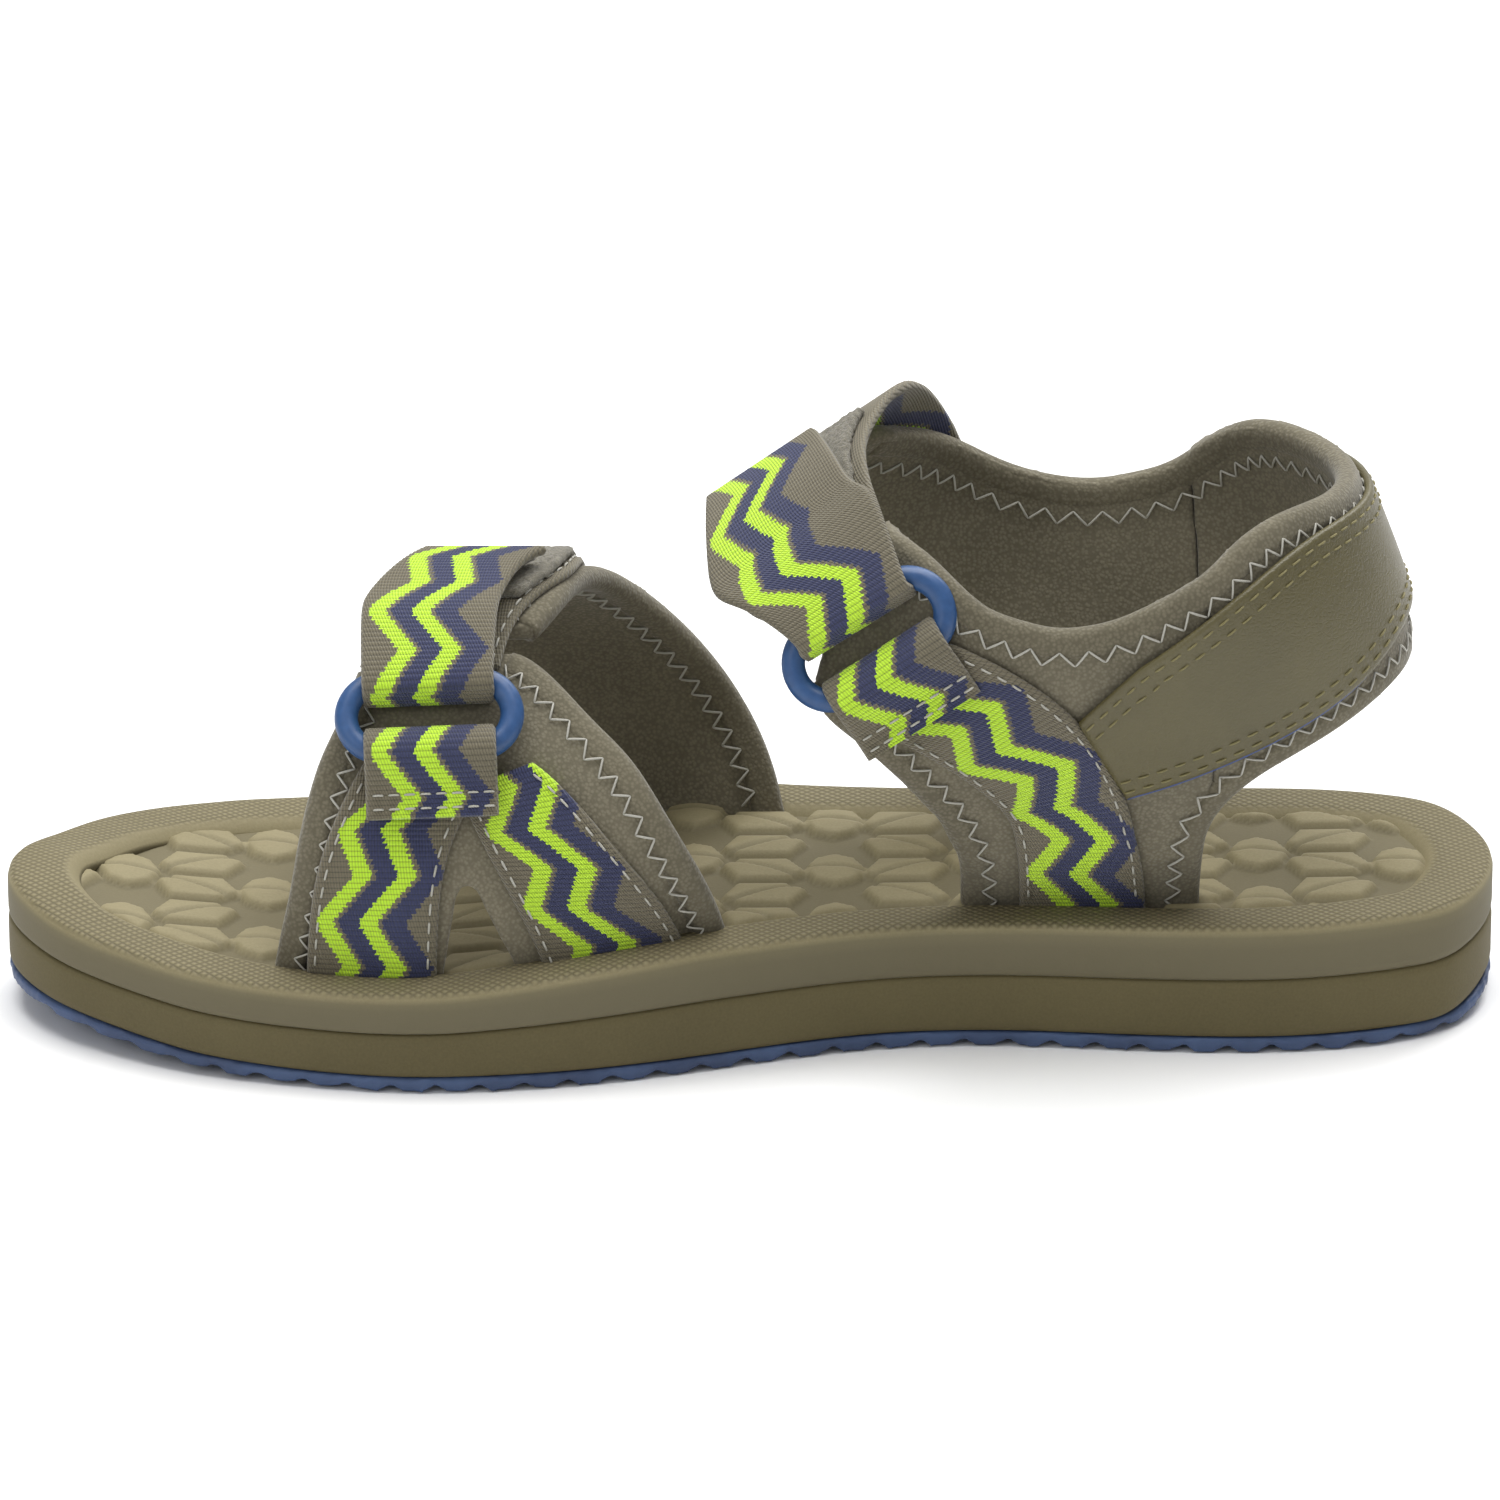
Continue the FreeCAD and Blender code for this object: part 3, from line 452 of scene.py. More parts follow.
POD_PITCH = 20.6
POD_HEIGHT = 1.7
COLUMN_START = -80.5
PENTAGON = [(-6.9, -1.6), (-4.0, -4.3), (4.0, -4.3), (6.9, 1.4), (3.2, 4.3), (-4.4, 4.3)]
LENS = [(-5.2, 0.0), (-3.4, -4.4), (0.0, -6.4), (3.4, -4.4), (5.2, 0.0), (3.4, 4.4), (0.0, 6.4),
        (-3.4, 4.4)]
rows_x = np.arange(-101.0, 101.2, 0.52)
rows_y = np.arange(-35.0, 35.0, 0.52)
grid_x, grid_y = np.meshgrid(rows_x, rows_y, indexing="ij")
spots = np.column_stack([grid_x.ravel(), grid_y.ravel()])
inside = rim_distance(spots)
lift = np.zeros(len(spots))
creases = np.zeros(len(spots))
for column in range(-1, 10):
    for half in (0.0, 0.5):
        centre_x = COLUMN_START + POD_PITCH * (column + half)
        pitch_y = 9.7 if half == 0.0 else 19.4
        for row in range(-4, 5):
            centre_y = 1.2 + pitch_y * row + (0.0 if half == 0.0 else 4.85 * (column % 2))
            near = np.where(np.hypot(spots[:, 0] - centre_x, spots[:, 1] - centre_y) < 9.0)[0]
            if len(near) == 0:
                continue
            local = spots[near] - (centre_x, centre_y)
            if half == 0.0:
                turned = local * (1, 1 if (row + column) % 2 else -1)
                depth = polygon_depth(turned, PENTAGON)
                crease = np.abs(turned @ np.array([0.5, -0.866]))
            else:
                depth = polygon_depth(local, LENS)
                crease = np.abs(local[:, 1] + 0.12 * local[:, 0])
            dome = ease(depth / 1.0) * (0.7 + 0.3 * ease(depth / 4.0))
            cut = ease(1 - crease / 0.7) * ease((depth + 0.3) / 1.2)
            dome -= 0.32 * cut
            creases[near] = np.maximum(creases[near], cut * (depth > 0))
            lift[near] = np.maximum(lift[near], dome)
lift *= ease((inside - RIM_WIDTH - 0.6) / 1.6) * POD_HEIGHT
floor_height = top_height(spots[:, 0]) - RIM_HEIGHT
pod_points = np.column_stack([spots, floor_height + lift])
kept = inside > RIM_WIDTH - 0.4
order = np.full(len(spots), -1)
order[kept] = np.arange(kept.sum())
order = order.reshape(grid_x.shape)
corner_sets = np.stack([order[:-1, :-1], order[1:, :-1], order[1:, 1:], order[:-1, 1:]], -1)
corner_sets = corner_sets.reshape(-1, 4)
pod_faces = [tuple(int(c) for c in corners) for corners in corner_sets[corner_sets.min(1) >= 0]]
footbed_pods = mesh_piece("footbed_pods", pod_points[kept], pod_faces)
# Painted shade in the pods' creases and on the low ground between them, kept on the points for the
# foam's colour.
shaded = np.maximum(0.75 * creases, ease(1 - lift / (0.55 * POD_HEIGHT))) * ease((inside - 9.2) / 1.5)
painted_groove_shade_layer = footbed_pods.data.attributes.new("painted_groove_shade", "FLOAT", "POINT")
painted_groove_shade_layer.data.foreach_set("value", shaded[kept].astype(np.float32))
backing = footbed_pods.modifiers.new("backing", "SOLIDIFY")
backing.thickness = 0.0012
backing.offset = -1.0
bpy.ops.object.modifier_apply(modifier="backing")


def under_rim(drop):
    return lambda x: top_height(x) - drop


footbed_section = [(0.5, split_height), (0.12, between(0.545)), (0.0, between(0.6)),
                   (0.0, between(0.8)), (0.0, under_rim(1.5)), (0.22, under_rim(0.7)),
                   (0.75, under_rim(0.18)), (1.6, under_rim(0.0)), (3.2, under_rim(-0.05)),
                   (6.4, under_rim(0.0)), (8.0, under_rim(0.05)), (8.9, under_rim(0.35)),
                   (9.6, under_rim(1.1)), (10.3, under_rim(1.75)), (10.6, under_rim(2.4)),
                   (9.0, split_height)]
footbed = rim_block("footbed_block", footbed_section)
footbed_foam = foam_material("footbed_foam", linear(112, 103, 74), linear(146, 137, 106), 0.0015)
for piece in (footbed, footbed_pods):
    place = np.array([tuple(v.co) for v in piece.data.vertices]) * 1000.0
    upward = np.array([v.normal.z for v in piece.data.vertices])
    rim_share = ease((upward - 0.5) / 0.3) * ease((RIM_WIDTH + 0.6 - rim_distance(place[:, :2])) / 0.8)
    layer = piece.data.attributes.new("rim", "FLOAT", "POINT")
    layer.data.foreach_set("value", rim_share.astype(np.float32))
    # How much each point faces up; the foam paints the sides darker than this lit top as painted shade.
    layer = piece.data.attributes.new("painted_top_light", "FLOAT", "POINT")
    layer.data.foreach_set("value", ease((upward + 0.1) / 0.7).astype(np.float32))
dress(footbed, footbed_foam, "shoe", "footbed_foam", "footbed")
dress(footbed_pods, footbed_foam, "shoe", "footbed_foam")


# ---- Forefoot padded panels -------------------------------------------------------------------
# Two layers of brushed knit over thin foam make the near panel and the band over the toes. Their
# edges are wrapped in a knit binding held by a zigzag seam, and their ends go down into the foam.
FOREFOOT_SECTION = [(-29.5, 3), (-30, 14.7), (-31, 25), (-30, 35), (-26.3, 44.5), (-21.5, 51),
                    (-13.5, 57.8), (-5, 61.6), (3, 62.4), (13, 60), (22.3, 52.5), (29, 41),
                    (32, 28), (31.5, 15), (31, 3)]
forefoot_curve = smooth_line(FOREFOOT_SECTION)
medial_line = np.array(MEDIAL_EDGE, float)
lateral_line = np.array(LATERAL_EDGE, float)


def forefoot_skin(u, v):
    """Outer face of the forefoot padding: u runs along the foot, v over it from the inner side."""
    place = forefoot_curve(v)
    y, z = place[..., 0], place[..., 1]
    share = ease((40 - z) / 25.3)
    inner = np.interp(u, medial_line[:, 0], medial_line[:, 1]) + 38.5
    outer = np.interp(u, lateral_line[:, 0], lateral_line[:, 1]) - 40.0
    return np.stack([u, y + share * np.where(y < 0, inner, outer), z], -1)


def unit(vectors):
    return vectors / np.linalg.norm(vectors, axis=-1, keepdims=True)


def slopes(skin, u, v):
    """How the skin runs along u and v at each point."""
    step = 0.02
    return ((skin(u + step, v) - skin(u - step, v)) / (2 * step),
            (skin(u, v + step) - skin(u, v - step)) / (2 * step))


def on_skin(skin, u, v, height):
    along_u, along_v = slopes(skin, u, v)
    normal = unit(np.cross(along_u, along_v))
    return skin(u, v) + normal * np.asarray(height)[..., None], normal


def even_line(skin, edge, pitch):
    """Points (u, v) spread evenly in mm along a smooth edge on a skin."""
    curve = smooth_line(edge)
    dense = curve(np.linspace(0, len(edge) - 1, 60 * len(edge)))
    places = skin(dense[:, 0], dense[:, 1])
    run = np.concatenate([[0], np.cumsum(np.linalg.norm(np.diff(places, axis=0), axis=1))])
    count = max(3, int(round(run[-1] / pitch)) + 1)
    even = np.linspace(0, run[-1], count)
    return np.column_stack([np.interp(even, run, dense[:, 0]), np.interp(even, run, dense[:, 1])])


def beside(skin, line, distance):
    """The line moved sideways on its skin by a distance in mm, to the left as seen from outside."""
    u, v = line[:, 0], line[:, 1]
    along_u, along_v = slopes(skin, u, v)
    normal = unit(np.cross(along_u, along_v))
    travel = unit(np.gradient(skin(u, v), axis=0))
    step = np.cross(normal, travel) * distance
    uu, uv, vv = (along_u ** 2).sum(-1), (along_u * along_v).sum(-1), (along_v ** 2).sum(-1)
    su, sv = (along_u * step).sum(-1), (along_v * step).sum(-1)
    size = uu * vv - uv * uv
    return line + np.column_stack([(su * vv - sv * uv) / size, (sv * uu - su * uv) / size])


# Webbing: pitch and height of its ribs, its thickness and how round its edges are, in mm
RIB = 0.77
RIB_HEIGHT = 0.16
WEBBING = 1.5
WEBBING_EDGE = 0.6
WEBBING_COLUMNS = 22


def band(name, skin, edge_a, edge_b, low, high, radius, columns, rib=0.0, cut=0.0):
    """A closed strip on a skin between two lines of (u, v) points, with rounded edges.

    low and high are heights above the skin, one number or one per row. rib is the height of
    woven ribs across the strip. cut drops what lies lower than this height.
    """
    rows = len(edge_a)
    turn = 0.5 - 0.5 * np.cos(np.linspace(0, np.pi, columns))
    share = 0.65 * turn + 0.35 * np.linspace(0, 1, columns)
    u = edge_a[:, None, 0] + share * (edge_b - edge_a)[:, None, 0]
    v = edge_a[:, None, 1] + share * (edge_b - edge_a)[:, None, 1]
    flat, normal = on_skin(skin, u, v, np.zeros_like(u))
    step = np.linalg.norm(np.diff(flat, axis=1), axis=-1)
    across = np.concatenate([np.zeros((rows, 1)), np.cumsum(step, axis=1)], axis=1)
    spine = flat[:, columns // 2]
    along = np.concatenate([[0], np.cumsum(np.linalg.norm(np.diff(spine, axis=0), axis=1))])
    low = np.broadcast_to(np.asarray(low, float), (rows,))[:, None]
    high = np.broadcast_to(np.asarray(high, float), (rows,))[:, None]
    edge = np.minimum(across, across[:, -1:] - across)
    half = (high - low) / 2 * np.sqrt(np.clip(1 - np.clip(1 - edge / radius, 0, 1) ** 2, 0, 1))
    waves = rib * (np.abs(np.cos(np.pi * along / RIB))[:, None] - 1) * np.clip(edge / 0.3, 0, 1)
    middle = (high + low) / 2
    top = flat + normal * (middle + half + waves)[..., None]
    bottom = flat + normal * (middle - half)[..., None]
    if cut:
        top[..., 2] = np.maximum(top[..., 2], cut)
        bottom[..., 2] = np.maximum(bottom[..., 2], cut)
    loop = np.concatenate([top, bottom[:, -2:0:-1]], axis=1)
    uv_across = np.concatenate([across, across[:, -2:0:-1]], axis=1)
    size = loop.shape[1]
    faces = []
    for i in range(rows - 1):
        for j in range(size):
            k = (j + 1) % size
            faces.append((i * size + j, i * size + k, (i + 1) * size + k, (i + 1) * size + j))
    for i, way in ((0, -1), (rows - 1, 1)):
        for j in range(columns - 1):
            under = [(size - j) % size, size - j - 1] if j < columns - 2 else [size - j, columns - 1]
            corners = list(dict.fromkeys([j, j + 1, under[1], under[0]]))
            faces.append(tuple(i * size + c for c in (corners if way > 0 else corners[::-1])))
    uv = np.stack([uv_across, np.broadcast_to(along[:, None], uv_across.shape)], -1)
    return face_outwards(mesh_piece(name, loop.reshape(-1, 3), faces, uv.reshape(-1, 2)))


def thread_mesh(name, stitches, radius):
    """Short stitches of thread: each is (start, end, normal) and lies in a low arch, in mm."""
    points, faces = [], []
    for start, end, normal in stitches:
        travel = unit(end - start)
        side = np.cross(travel, normal)
        first = len(points)
        for share, lift, size in ((0.0, -0.35, 0.5), (0.12, 0.0, 0.95), (0.5, 0.22, 1.0),
                                  (0.88, 0.0, 0.95), (1.0, -0.35, 0.5)):
            centre = start + (end - start) * share + normal * lift * radius * 2
            for turn in range(6):
                angle = turn * math.pi / 3
                points.append(centre + (side * math.cos(angle) + normal * math.sin(angle))
                              * radius * size)
        for ring in range(4):
            for turn in range(6):
                nxt = (turn + 1) % 6
                a = first + ring * 6
                faces.append((a + turn, a + nxt, a + 6 + nxt, a + 6 + turn))
        faces.append(tuple(first + turn for turn in range(5, -1, -1)))
        faces.append(tuple(first + 24 + turn for turn in range(6)))
    return face_outwards(mesh_piece(name, points, faces))


def zigzag(skin, edge, offset, width, pitch, height, flip=1):
    """Stitches of a zigzag seam beside an edge; offset and width are in mm on the skin."""
    line = even_line(skin, edge, pitch / 2)
    near = beside(skin, line, offset)
    far = beside(skin, line, offset + width)
    zig = np.where((np.arange(len(line)) % 2 == 0)[:, None], near, far)
    places, normals = on_skin(skin, zig[:, 0], zig[:, 1], np.full(len(zig), height))
    return [(places[i], places[i + 1], normals[i] * flip) for i in range(len(places) - 1)]


STITCH_SHARE = 0.62
STITCH_PITCH = 2.6
STITCH_HEIGHT = WEBBING + 0.18
ZIGZAG_PITCH = 3.6


def running(skin, edge, offset, pitch, height):
    """Stitches of a straight seam beside an edge."""
    line = beside(skin, even_line(skin, edge, pitch), offset)
    places, normals = on_skin(skin, line[:, 0], line[:, 1], np.full(len(line), height))
    return [(places[i], places[i] + (places[i + 1] - places[i]) * STITCH_SHARE, normals[i])
            for i in range(len(places) - 1)]


def above(stitches, height):
    return [s for s in stitches if min(s[0][2], s[1][2]) > height]


def cloth_material(name, low, high):
    """Knit or brushed cloth: fine loops, soft cloudiness and a pale sheen."""
    material, tree, shader = node_material(name)
    place = piece_place(tree)
    cloud = ramp(tree, noise(tree, place, 40.0, 3.0), 0.2, 0.8)
    loops = chain(tree, "ShaderNodeTexVoronoi")
    tree.links.new(place, loops.inputs["Vector"])
    loops.inputs["Scale"].default_value = 1900.0
    knit = ramp(tree, loops.outputs["Distance"], 0.15, 0.75)
    share = maths(tree, "ADD", maths(tree, "MULTIPLY", cloud, 0.5),
                  maths(tree, "MULTIPLY", maths(tree, "SUBTRACT", 1.0, knit), 0.5))
    colour = blend_colour(tree, share, low, high)
    tree.links.new(colour, shader.inputs["Base Color"])
    shader.inputs["Roughness"].default_value = 0.9
    shader.inputs["Specular IOR Level"].default_value = 0.15
    shader.inputs["Sheen Weight"].default_value = 0.25
    shader.inputs["Sheen Roughness"].default_value = 0.5
    bump(tree, shader, maths(tree, "SUBTRACT", 1.0, knit), 0.00012, 0.5)
    return material


def thread_material(name, colour):
    material, tree, shader = node_material(name)
    place = piece_place(tree)
    twist = noise(tree, place, 4000.0, 2.0)
    tree.links.new(blend_colour(tree, twist, [0.75 * c for c in colour[:3]] + [1], colour),
                   shader.inputs["Base Color"])
    shader.inputs["Roughness"].default_value = 0.6
    bump(tree, shader, twist, 0.00006, 0.6)
    return material


knit_cloth = cloth_material("brushed_knit", linear(92, 87, 72), linear(128, 122, 104))
binding_cloth = cloth_material("binding_knit", linear(86, 81, 66), linear(120, 114, 96))
grey_thread = thread_material("grey_thread", linear(176, 174, 164))
PANEL = 3.0


def sewn(name, stitches, slot="webbing", material=grey_thread, radius=0.17):
    """A seam of separate stitches that rides on the shoe."""
    dress(thread_mesh(name, stitches, radius), material, "shoe", slot)


def padded_panel(node, name):
    panel = soft_copy(node, name, 4)
    dress(panel, knit_cloth, "shoe", "padded_cloth", node)


# A binding: its width, how far it stands over the cloth and where the foam hides it, in mm
BINDING_WIDTH = 4.6
BINDING_HEIGHT = 0.3
BINDING_FOOT = 13.0


def bound_edge(name, skin, edge, side):
    """Binding wrapped round a panel's edge, with its zigzag seam. side is 1 where the panel lies
    to the left of the edge's run, seen from outside."""
    line = even_line(skin, edge, 1.0)
    outer = beside(skin, line, -0.35 * side)
    inner = beside(skin, line, BINDING_WIDTH * side)
    strip = band(name, skin, outer, inner, -PANEL - BINDING_HEIGHT, BINDING_HEIGHT, 1.9, 13,
                 cut=BINDING_FOOT)
    dress(strip, binding_cloth, "shoe", "padded_cloth")
    stitches = zigzag(skin, edge, (BINDING_WIDTH - 1.9) * side, 2.2 * side, ZIGZAG_PITCH,
                      BINDING_HEIGHT + 0.1)
    sewn(name + "_seam", above(stitches, BINDING_FOOT), "padded_cloth")


PANEL_FRONT = [(-68.3, 0), (-68.1, 1), (-65.8, 2.05), (-63.2, 3.3), (-59.3, 4.6), (-56, 5.6)]
PANEL_REAR = [(-2, 0), (-3, 1), (-7, 2.2), (-14.5, 3.6), (-24.8, 5.1), (-34, 5.9)]
BAND_FRONT = [(-52, 6.3), (-49.5, 7.4), (-48, 8.5), (-49, 9.7), (-52, 10.9), (-57, 12), (-60, 13),
              (-60.5, 14)]
BAND_REAR = [(-31, 6.3), (-26.5, 7.4), (-23.4, 8.5), (-16.5, 9.7), (-7.3, 10.8), (1.3, 12), (5, 13),
             (5, 14)]
padded_panel("forefoot_medial_panel", "forefoot_panel")
padded_panel("forefoot_lateral_band", "forefoot_band")
bound_edge("panel_front_binding", forefoot_skin, PANEL_FRONT, -1)
bound_edge("panel_rear_binding", forefoot_skin, PANEL_REAR, 1)
bound_edge("band_front_binding", forefoot_skin, BAND_FRONT, -1)
bound_edge("band_rear_binding", forefoot_skin, BAND_REAR, 1)
lining_seam = []
for edge in (BAND_REAR, PANEL_REAR):
    lining_seam += zigzag(forefoot_skin, edge, 3.0, 2.4, ZIGZAG_PITCH, -PANEL - 0.35, flip=-1)
sewn("forefoot_lining_seam", above(lining_seam, 18.0), "padded_cloth", radius=0.2)


# ---- Forefoot webbing legs --------------------------------------------------------------------
# Two straps of ribbed webbing with a woven zigzag in lime and navy. They come up out of the foam
# beside each other, are sewn to the panel along their edges and meet below the ring.
def webbing_material(name, shift=0.0):
    """Ribbed webbing; the UV map is (across, along) in metres, and the zigzag steps rib by rib."""
    material, tree, shader = node_material(name)
    uv = chain(tree, "ShaderNodeUVMap")
    axes = chain(tree, "ShaderNodeSeparateXYZ")
    tree.links.new(uv.outputs["UV"], axes.inputs[0])
    across = maths(tree, "MULTIPLY", axes.outputs["X"], 1000.0)
    along = maths(tree, "MULTIPLY", axes.outputs["Y"], 1000.0)
    rib = maths(tree, "MULTIPLY", maths(tree, "FLOOR", maths(tree, "DIVIDE", along, RIB)), RIB)
    phase = maths(tree, "FRACT", maths(tree, "DIVIDE", maths(tree, "ADD", rib, shift + 200.0), 13.5))
    swing = maths(tree, "SUBTRACT", maths(tree, "MULTIPLY", maths(
        tree, "ABSOLUTE", maths(tree, "SUBTRACT", phase, 0.5)), 9.2), 2.3)
    stray = noise(tree, uv.outputs["UV"], 1900.0, 1.0)
    shifted = maths(tree, "ADD", maths(tree, "SUBTRACT", across, swing),
                    maths(tree, "MULTIPLY", maths(tree, "SUBTRACT", stray, 0.5), 0.9))
    bands = chain(tree, "ShaderNodeValToRGB")
    bands.color_ramp.interpolation = "CONSTANT"
    taupe, lime, navy = linear(110, 103, 83), linear(188, 230, 46), linear(44, 50, 86)
    stops = ((0.0, taupe), (3.0, lime), (5.7, taupe), (6.4, navy), (9.3, lime), (12.0, taupe),
             (12.7, navy), (15.9, taupe))
    while len(bands.color_ramp.elements) < len(stops):
        bands.color_ramp.elements.new(0.5)
    for element, (place, colour) in zip(bands.color_ramp.elements, stops):
        element.position = place / 20.0
        element.color = colour
    tree.links.new(maths(tree, "DIVIDE", shifted, 20.0), bands.inputs["Fac"])
    edge = maths(tree, "MULTIPLY", ramp(tree, across, 1.0, 1.3),
                 maths(tree, "SUBTRACT", 1.0, ramp(tree, across, 18.2, 18.5)))
    woven = blend_colour(tree, edge, taupe, bands.outputs["Color"])
    valley = maths(tree, "ABSOLUTE", maths(tree, "COSINE", maths(
        tree, "MULTIPLY", along, math.pi / RIB)))
    threads = maths(tree, "ABSOLUTE", maths(tree, "SINE", maths(
        tree, "MULTIPLY", maths(tree, "ADD", across, maths(tree, "MULTIPLY", along, 0.35)),
        math.pi / 0.42)))
    shade = maths(tree, "ADD", maths(tree, "MULTIPLY", ramp(tree, valley, 0.0, 0.55), 0.62),
                  maths(tree, "MULTIPLY", threads, 0.38))
    dark = blend_colour(tree, 0.62, woven, (0.01, 0.01, 0.012, 1.0))
    tree.links.new(blend_colour(tree, shade, dark, woven), shader.inputs["Base Color"])
    shader.inputs["Roughness"].default_value = 0.75
    shader.inputs["Sheen Weight"].default_value = 0.2
    bump(tree, shader, threads, 0.00016, 0.8)
    return material


zigzag_webbing = webbing_material("zigzag_webbing")
front_webbing = webbing_material("front_webbing", 3.0)


def rows_between(skin, edge_a, edge_b, pitch):
    """Both edges of a strap cut into the same number of rows, about one pitch apart."""
    a = smooth_line(edge_a)
    b = smooth_line(edge_b)
    dense = np.linspace(0, len(edge_a) - 1, 400)
    middle = (a(dense) + b(dense)) / 2
    places = skin(middle[:, 0], middle[:, 1])
    run = np.concatenate([[0], np.cumsum(np.linalg.norm(np.diff(places, axis=0), axis=1))])
    even = np.interp(np.linspace(0, run[-1], int(run[-1] / pitch) + 2), run, dense)
    return a(even), b(even)


STRAP_GAP = 0.1
STRAP_FOOT = 12.5


def strap(name, skin, edge_a, edge_b, material, node):
    """Webbing that lies on a skin and stands for a node of the part."""
    a, b = rows_between(skin, edge_a, edge_b, RIB / 4)
    piece = band(name, skin, a, b, STRAP_GAP, STRAP_GAP + WEBBING, WEBBING_EDGE, WEBBING_COLUMNS,
                 rib=RIB_HEIGHT, cut=STRAP_FOOT)
    dress(piece, material, "shoe", "webbing", node)


def edge_seams(name, skin, edges, depth, lowest):
    """Running seams inside a strap's edges, which are given as front and rear in turn."""
    stitches = []
    for number, edge in enumerate(edges):
        side = 1 if number % 2 else -1
        stitches += above(running(skin, edge, depth * side, STITCH_PITCH, STITCH_HEIGHT), lowest)
    sewn(name, stitches)


FRONT_LEG_A = [(-63.5, 0), (-63.3, 1), (-62.4, 2.1), (-60.6, 2.85), (-58, 3.45), (-54.5, 4.1)]
FRONT_LEG_B = [(-45, 0), (-44.9, 1), (-44.3, 2.1), (-42.7, 2.85), (-39.8, 3.45), (-36.8, 4.1)]
REAR_LEG_A = [(-29, 0), (-29.5, 1), (-34.5, 2.2), (-39.3, 3.1), (-41, 3.6)]
REAR_LEG_B = [(-8.5, 0), (-9.5, 1.1), (-14.5, 2.2), (-23.5, 3.3), (-31, 4.0)]
strap("forefoot_front_leg", forefoot_skin, FRONT_LEG_A, FRONT_LEG_B, front_webbing,
      "forefoot_front_webbing")
strap("forefoot_rear_leg", forefoot_skin, REAR_LEG_A, REAR_LEG_B, zigzag_webbing,
      "forefoot_rear_webbing")
edge_seams("forefoot_leg_seams", forefoot_skin, (FRONT_LEG_A, FRONT_LEG_B, REAR_LEG_A, REAR_LEG_B),
           1.3, 15.5)


# ---- Rings ------------------------------------------------------------------------------------
# Oval rings moulded in blue plastic from round bar. Each hangs in a webbing loop on its lower
# bar, and the closing strap turns back over its upper bar.
ring_plastic, ring_tree, ring_shader = node_material("ring_plastic")
ring_place = piece_place(ring_tree)
scuff = noise(ring_tree, ring_place, 900.0, 4.0)
ring_tree.links.new(blend_colour(ring_tree, scuff, linear(30, 62, 106), linear(46, 84, 132)),
                    ring_shader.inputs["Base Color"])
ring_tree.links.new(maths(ring_tree, "ADD", maths(ring_tree, "MULTIPLY", scuff, 0.25), 0.28),
                    ring_shader.inputs["Roughness"])
bump(ring_tree, ring_shader, scuff, 0.00004, 0.6)
joint_places = {joint["name"]: joint for joint in frame["joints"]}
ring_axes = {}
for part in ("forefoot", "ankle"):
    swing = joint_places[part + "_ring_swing"]
    low_bar = np.array(swing["pos_m"], float) * 1000
    high_bar = np.array(joint_places[part + "_tab_peel"]["pos_m"], float) * 1000
    along = unit(np.array(swing["axis"], float))
    upward = unit(high_bar - low_bar)
    outward = np.cross(along, upward)
    centre = (low_bar + high_bar) / 2
    ring_axes[part] = (centre, along, upward, outward)
    bpy.ops.mesh.primitive_torus_add(major_radius=0.0053, minor_radius=0.0017,
                                     major_segments=64, minor_segments=24,
                                     rotation=(0, 0, math.radians(2.8)))
    ring = bpy.context.object
    ring.name = part + "_ring_bar"
    bpy.ops.object.transform_apply(location=True, rotation=True, scale=True)
    for vertex in ring.data.vertices:
        vertex.co.x += math.copysign(0.0065, vertex.co.x)
    turn = Matrix(np.column_stack([along, upward, outward]).tolist()).to_4x4()
    ring.data.transform(Matrix.Translation(Vector(centre * 0.001)) @ turn)
    bpy.ops.object.shade_smooth()
    dress(ring, ring_plastic, part + "_ring_body", "ring_plastic", part + "_ring")


# ---- Webbing loops on the rings ---------------------------------------------------------------
# A short length of the same webbing goes round each lower bar and is sewn down with two rows
# across it, over the tops of the legs.
def ring_point(part, x, y, z):
    centre, along, upward, outward = ring_axes[part]
    return centre + along * x + upward * y + outward * z


def ruled(first, second):
    """A skin that runs straight across from one smooth line in space to another."""
    a = smooth_line(first)
    b = smooth_line(second)

    def skin(u, v):
        share = np.asarray(u, float)[..., None]
        return a(v) * (1 - share) + b(v) * share
    return skin


def flat_strap(name, left, right):
    """Webbing between two lines in space, given as points in mm."""
    skin = ruled(left, right)
    count = len(left)
    a, b = rows_between(skin, [(0.0, i) for i in range(count)], [(1.0, i) for i in range(count)],
                        RIB / 4)
    return band(name, skin, a, b, -WEBBING / 2, WEBBING / 2, WEBBING_EDGE, WEBBING_COLUMNS,
                rib=RIB_HEIGHT)


HALF_WEB = 9.4
loop_side = ((-14.6, -1.7), (-12.2, -1.1), (-9.9, 0.2), (-7.6, 2.0), (-5.3, 2.75), (-3.2, 1.8),
             (-2.5, 0.0), (-3.4, -2.0), (-5.6, -2.6), (-8.5, -2.9), (-11.5, -3.1))
for part in ("forefoot", "ankle"):
    left = [ring_point(part, -HALF_WEB, y, z) for y, z in loop_side]
    right = [ring_point(part, HALF_WEB, y, z) for y, z in loop_side]
    dress(flat_strap(part + "_ring_loop", left, right), zigzag_webbing, "shoe", "webbing")
    rows = []
    for y, z in ((-13.6, -0.6), (-11.7, 0.05)):
        for step in range(8):
            x = -HALF_WEB + 1.0 + step * 2.25
            rows.append((ring_point(part, x, y, z), ring_point(part, x + 1.55, y, z),
                         ring_axes[part][3]))
    sewn(part + "_loop_rows", rows)


# ---- Forefoot closing strap -------------------------------------------------------------------
# Webbing from the outer side lies over the toe band and carries soft loop tape. Its free end
# turns back over the ring's upper bar and its hook tape grips the loops.
RUN_FRONT = [(-55.8, 5.6), (-51.5, 6.8), (-46.5, 7.7), (-44.5, 8.6), (-44, 9.7), (-43, 11),
             (-41, 12.2), (-40, 13), (-40, 14)]
RUN_REAR = [(u + 20.0, v) for u, v in RUN_FRONT]


